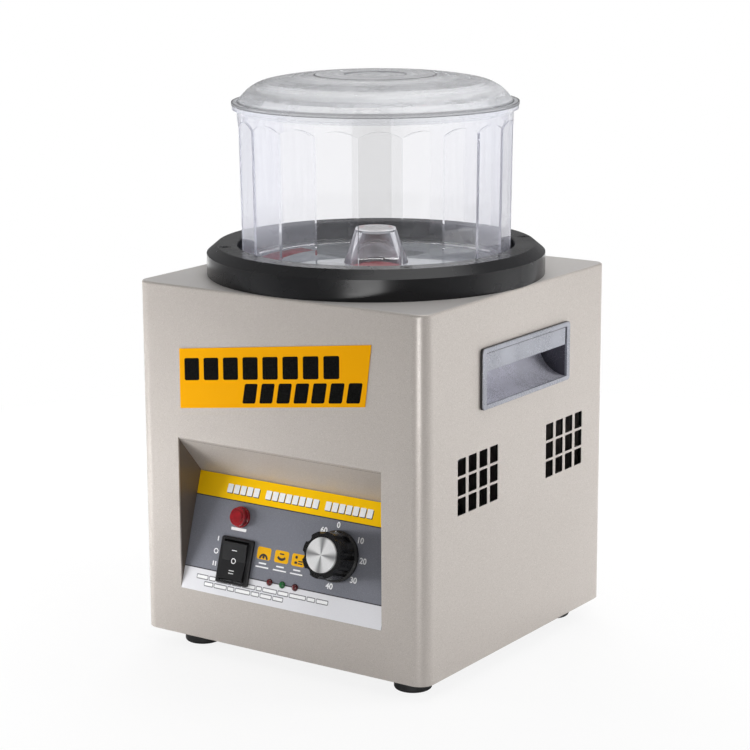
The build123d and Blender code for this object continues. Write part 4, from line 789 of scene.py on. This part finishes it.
# The title in the yellow band: blocks in place of letters, in three words
title_start, title_up = -54.5, 72.6
title_block_width, title_block_height, title_lean = 4.4, 6.0, 0.6
title_word_lengths = (5, 8, 7)
title_block_pitch, title_word_gap = 5.5, 4.6
shadow_across, shadow_down = 0.6, 0.5

# The notes in the silver band: where each row stands and starts, and its words' lengths
note_rows = (
    (10.4, -70, (9, 5, 12, 7, 10, 4, 11, 8, 13, 6, 9)),
    (6.2, -63, (7, 10, 5, 12, 6, 9, 8)),
)
note_word_gap = 1.4
note_outline_height, note_fill_height = 3.3, 2.1


def on_first_ink(across, up, out):
    """A place on top of what is already printed on the panel."""
    return on_panel(across, up, out + PRINT_FILM + PRINT_LIFT)


def dial_scale():
    """Numbers round the timer knob."""
    digits = []
    for text, clockwise in dial_numbers.items():
        angle = math.radians(90 - clockwise)
        across = timer_across + dial_radius * math.cos(angle)
        up = timer_up + dial_radius * math.sin(angle)
        digits.append(numeral(text, across, up, dial_digit_size))
    print_piece("dial_scale", "casing", on_panel, [(white_ink, digits)])


def title_words():
    """The title's blocks and their shadows."""
    places, across = [], title_start
    for length in title_word_lengths:
        places += [across + title_block_pitch * count for count in range(length)]
        across += title_block_pitch * length + title_word_gap
    size = (title_block_width, title_block_height, title_lean)
    titles = [bar(x, title_up, *size) for x in places]
    shadows = [bar(x + shadow_across, title_up - shadow_down, *size) for x in places]
    return titles, shadows


def note_words():
    """Two rows of small pale bars with grey outlines."""
    outlines, fills = [], []
    for up, across, lengths in note_rows:
        for length in lengths:
            middle = across + length / 2
            outlines.append(bar(middle, up, length + 0.7, note_outline_height, corner=0.4))
            fills.append(bar(middle, up, length - 0.3, note_fill_height))
            across += length + note_word_gap
    return outlines, fills


def pictogram_tiles():
    """Three tiles, each over two caption bars."""
    tiles, captions = [], []
    for left, right in tile_spans:
        middle, width = (left + right) / 2, right - left
        tiles.append(bar(middle, tile_up, width, tile_height, corner=1.0))
        for up, height, share in caption_rows:
            captions.append(bar(middle, up, width * share, height, corner=0.2))
    return tiles, captions


def pictogram_shapes():
    """Plain dark shapes on the tiles: an arch over a drop, a wave in a tray, a dot with bars."""
    arch_across, wave_across, dot_across, bars_across = -18.4, -3.9, 8.0, 11.6
    arch = arc(arch_across, 30.2, 3.6, 180, 0) + arc(arch_across, 30.2, 2.2, 0, 180)
    drop = [(arch_across, 33.6)] + arc(arch_across, 31.4, 0.9, 20, -200)
    wave = arc(wave_across, 35.6, 4.2, 215, 325) + arc(wave_across, 36.6, 3.4, 320, 220)
    shapes = [[arch], [drop], [wave], bar(wave_across, 35.9, 3.6, 0.9)]
    shapes += [disc(dot_across, 35.8, 1.0), bar(dot_across, 32.2, 2.2, 1.6)]
    shapes += [bar(bars_across, up, 3.6, 0.8) for up in (33.4, 31.8)]
    return shapes


def panel_marks():
    """Everything printed on the panel but the dial."""
    titles, shadows = title_words()
    note_outlines, note_fills = note_words()
    tiles, captions = pictogram_tiles()
    lamp_caption = bar(-42.1, 46.4, 12.6, 2.0, corner=0.2)
    switch_marks = [
        bar(-57.6, 38.0, 0.9, 3.2, corner=0.2),
        ring(-57.8, 29.4, 1.9, 0.7),
        bar(-58.6, 21.0, 0.9, 3.2, corner=0.2),
        bar(-56.6, 21.0, 0.9, 3.2, corner=0.2),
    ]
    under_inks = [(dark_ink, shadows), (grey_ink, note_outlines)]
    print_piece("panel_shadow_print", "casing", on_panel, under_inks)
    title_inks = [(white_ink, titles + note_fills)]
    print_piece("panel_title", "casing", on_first_ink, title_inks)
    mark_inks = [(white_ink, [lamp_caption] + switch_marks + captions), (yellow_ink, tiles)]
    print_piece("panel_marks", "casing", on_panel, mark_inks)
    shape_inks = [(dark_ink, pictogram_shapes())]
    print_piece("pictograms", "casing", on_first_ink, shape_inks)


dial_scale()
panel_marks()


# ---------------------------------------------------------------- printed marks: front label

label_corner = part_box("front_label")[0]
label_tilt = math.radians(7.4)


def on_label(x, y, out):
    """A place on the front label: x along its slanting foot, y straight up."""
    along = Vector((math.cos(label_tilt), 0, math.sin(label_tilt)))
    return label_corner + (x * along + Vector((0, -out, y))) * MM


def block_row(first, pitch, count, middle, width, height, lean=0.0):
    """Evenly spaced blocks, the first centred at x = first."""
    return [bar(first + pitch * place, middle, width, height, lean, 0.8) for place in range(count)]


def label_marks():
    """Two rows of plain blocks where a sign would be lettered."""
    top_row = block_row(10.5, 16.3, 8, 26.5, 12.4, 15.0)
    low_row = block_row(59.0, 13.9, 7, 9.7, 10.6, 13.2, lean=2.4)
    blocks = [(black_ink, top_row + low_row)]
    print_piece("label_marks", "casing", on_label, blocks)


label_marks()


# ---------------------------------------------------------------- printed marks: rocker and knob

rocker_pivot = Vector(joints["rocker_tilt"]["pos_m"])
rocker_corner_along, rocker_corner_height, rocker_dip_height = 12.2, 5.6, 4.2
mark_length, mark_line = 4.2, 0.5


def on_rocker(across, along, out):
    """A place on the shallow V of the rocker's face, measured from its pivot."""
    rise = rocker_corner_height - rocker_dip_height
    height = rocker_dip_height + rise * abs(along) / rocker_corner_along
    shift = across * panel_across + along * panel_up + (height + out) * panel_normal
    return rocker_pivot + shift * MM


def rocker_marks():
    """One bar, a circle, and two bars for the three positions."""
    marks = [bar(0, along, mark_length, mark_line, corner=0.1) for along in (7.0, -6.6, -8.4)]
    marks.insert(1, ring(0, 0.0, 1.9, 0.55))
    print_piece("rocker_marks", "switch_rocker", on_rocker, [(white_ink, marks)])


def knob_pointer():
    """White line in the groove of the knob's skirt."""
    pointer_clockwise, groove_floor = -8.0, 3.7
    angle = math.radians(90 - pointer_clockwise)
    outward = math.cos(angle) * panel_across + math.sin(angle) * panel_up
    sideways = panel_normal.cross(outward)

    def on_skirt(x, y, out):
        shift = x * sideways + y * outward + (groove_floor + out) * panel_normal
        return timer_centre + shift * MM

    line = bar(0, 15.2, 0.9, 2.4, corner=0.1)
    print_piece("knob_pointer", "timer_dial", on_skirt, [(white_ink, [line])])


rocker_marks()
knob_pointer()


# ---------------------------------------------------------------- floor, light and camera


def floor():
    """A pale floor that fades to plain white away from the machine."""
    half = 6.0
    fade_start, fade_end = 0.25, 0.75
    white_share = 0.86
    mesh = bpy.data.meshes.new("floor")
    corners = [(-half, -half, 0), (half, -half, 0), (half, half, 0), (-half, half, 0)]
    mesh.from_pydata(corners, [], [(0, 1, 2, 3)])
    piece = bpy.data.objects.new("floor", mesh)
    scene.collection.objects.link(piece)
    finish = Finish("floor", Roughness=0.9, Specular_IOR_Level=0.1)
    mottle = finish.noise(0.02, 3)
    finish.set("Base Color", finish.mix(mottle, (0.82, 0.82, 0.82, 1), (0.85, 0.85, 0.85, 1)))
    fade = finish.ramp(radius_from_axis(finish), fade_start, fade_end)
    white = finish.add("ShaderNodeEmission", {"Color": (1, 1, 1, 1), "Strength": 1.0})
    path = finish.add("ShaderNodeLightPath").outputs
    seen = finish.math("MAXIMUM", path["Is Camera Ray"], path["Is Transmission Ray"])
    share = finish.both(seen, finish.math("MAXIMUM", fade, white_share))
    surface = mix_shader(finish, share, finish.bsdf.outputs[0], white.outputs[0])
    finish.plug(finish.output.inputs["Surface"], surface)
    mesh.materials.append(finish.material)


def sky():
    """White behind the object; a softer grey room for light and reflections."""
    world = bpy.data.worlds.new("studio")
    scene.world = world
    world.use_nodes = True
    nodes, links = world.node_tree.nodes, world.node_tree.links
    background = nodes["Background"]
    path = nodes.new("ShaderNodeLightPath")
    seen = nodes.new("ShaderNodeMath")
    seen.operation = "MAXIMUM"
    links.new(path.outputs["Is Camera Ray"], seen.inputs[0])
    links.new(path.outputs["Is Transmission Ray"], seen.inputs[1])
    direction = nodes.new("ShaderNodeTexCoord")
    split = nodes.new("ShaderNodeSeparateXYZ")
    links.new(direction.outputs["Generated"], split.inputs[0])
    room = nodes.new("ShaderNodeValToRGB")
    below, above = room.color_ramp.elements
    below.position, below.color = 0.35, (0.15, 0.15, 0.153, 1)
    above.position, above.color = 0.95, (0.48, 0.48, 0.48, 1)
    height = nodes.new("ShaderNodeMapRange")
    height.inputs["From Min"].default_value = -1.0
    links.new(split.outputs["Z"], height.inputs["Value"])
    links.new(height.outputs[0], room.inputs[0])
    mixed = nodes.new("ShaderNodeMix")
    mixed.data_type = "RGBA"
    links.new(seen.outputs[0], mixed.inputs["Factor"])
    links.new(room.outputs[0], mixed.inputs["A"])
    mixed.inputs["B"].default_value = (1, 1, 1, 1)
    links.new(mixed.outputs["Result"], background.inputs["Color"])


def softbox(name, place, target, size, power, reflected=True, diffuse=True):
    """A large soft area light at a place, facing a target, which may be kept out of reflections
    or used for reflections alone."""
    light = bpy.data.lights.new(name, "AREA")
    light.shape = "RECTANGLE"
    light.size, light.size_y = size
    light.energy = power
    lamp = bpy.data.objects.new(name, light)
    scene.collection.objects.link(lamp)
    lamp.location = place
    lamp.visible_glossy = reflected
    lamp.visible_transmission = reflected
    lamp.visible_diffuse = diffuse
    lamp.rotation_euler = (Vector(target) - Vector(place)).to_track_quat("-Z", "Y").to_euler()


def camera():
    """Seen from the front right, a little above, with a long lens."""
    azimuth, elevation, roll = math.radians(34.30), math.radians(12.66), math.radians(-0.2646)
    distance = 1.5923
    lens_length, sensor_width = 111.18, 36.0
    target = Vector((-0.0013, 0.0, 0.1792))
    back = Vector(
        (
            math.sin(azimuth) * math.cos(elevation),
            -math.cos(azimuth) * math.cos(elevation),
            math.sin(elevation),
        )
    )
    level_right = Vector((math.cos(azimuth), math.sin(azimuth), 0))
    level_up = back.cross(level_right)
    right = math.cos(roll) * level_right + math.sin(roll) * level_up
    up = math.cos(roll) * level_up - math.sin(roll) * level_right
    data = bpy.data.cameras.new("camera")
    data.lens, data.sensor_width = lens_length, sensor_width
    holder = bpy.data.objects.new("camera", data)
    scene.collection.objects.link(holder)
    rotation = Matrix((right, up, back)).transposed().to_4x4()
    holder.matrix_world = Matrix.Translation(target + back * distance) @ rotation
    scene.camera = holder


floor()
sky()
softbox("key_left", (-0.54, -0.40, 0.08), (-0.1, -0.116, 0.08), (0.3, 0.14), 3.4, reflected=False)
softbox("fill_right", (1.35, 0.85, 0.30), (0, 0, 0.10), (0.8, 1.4), 25, reflected=False)
softbox("back_left", (-0.95, 1.25, 0.62), (0, 0, 0.25), (1.2, 0.4), 24, reflected=False)
softbox("top", (0.3, 0.1, 1.6), (0, 0, 0.3), (1.0, 1.0), 7)
softbox("ring_sheen", (0.40, -0.76, 0.07), (0, 0, 0.2), (0.34, 0.1), 1.8, diffuse=False)
camera()

scene.view_settings.view_transform = "Standard"
scene.view_settings.look = "None"
scene.view_settings.exposure = 0.0
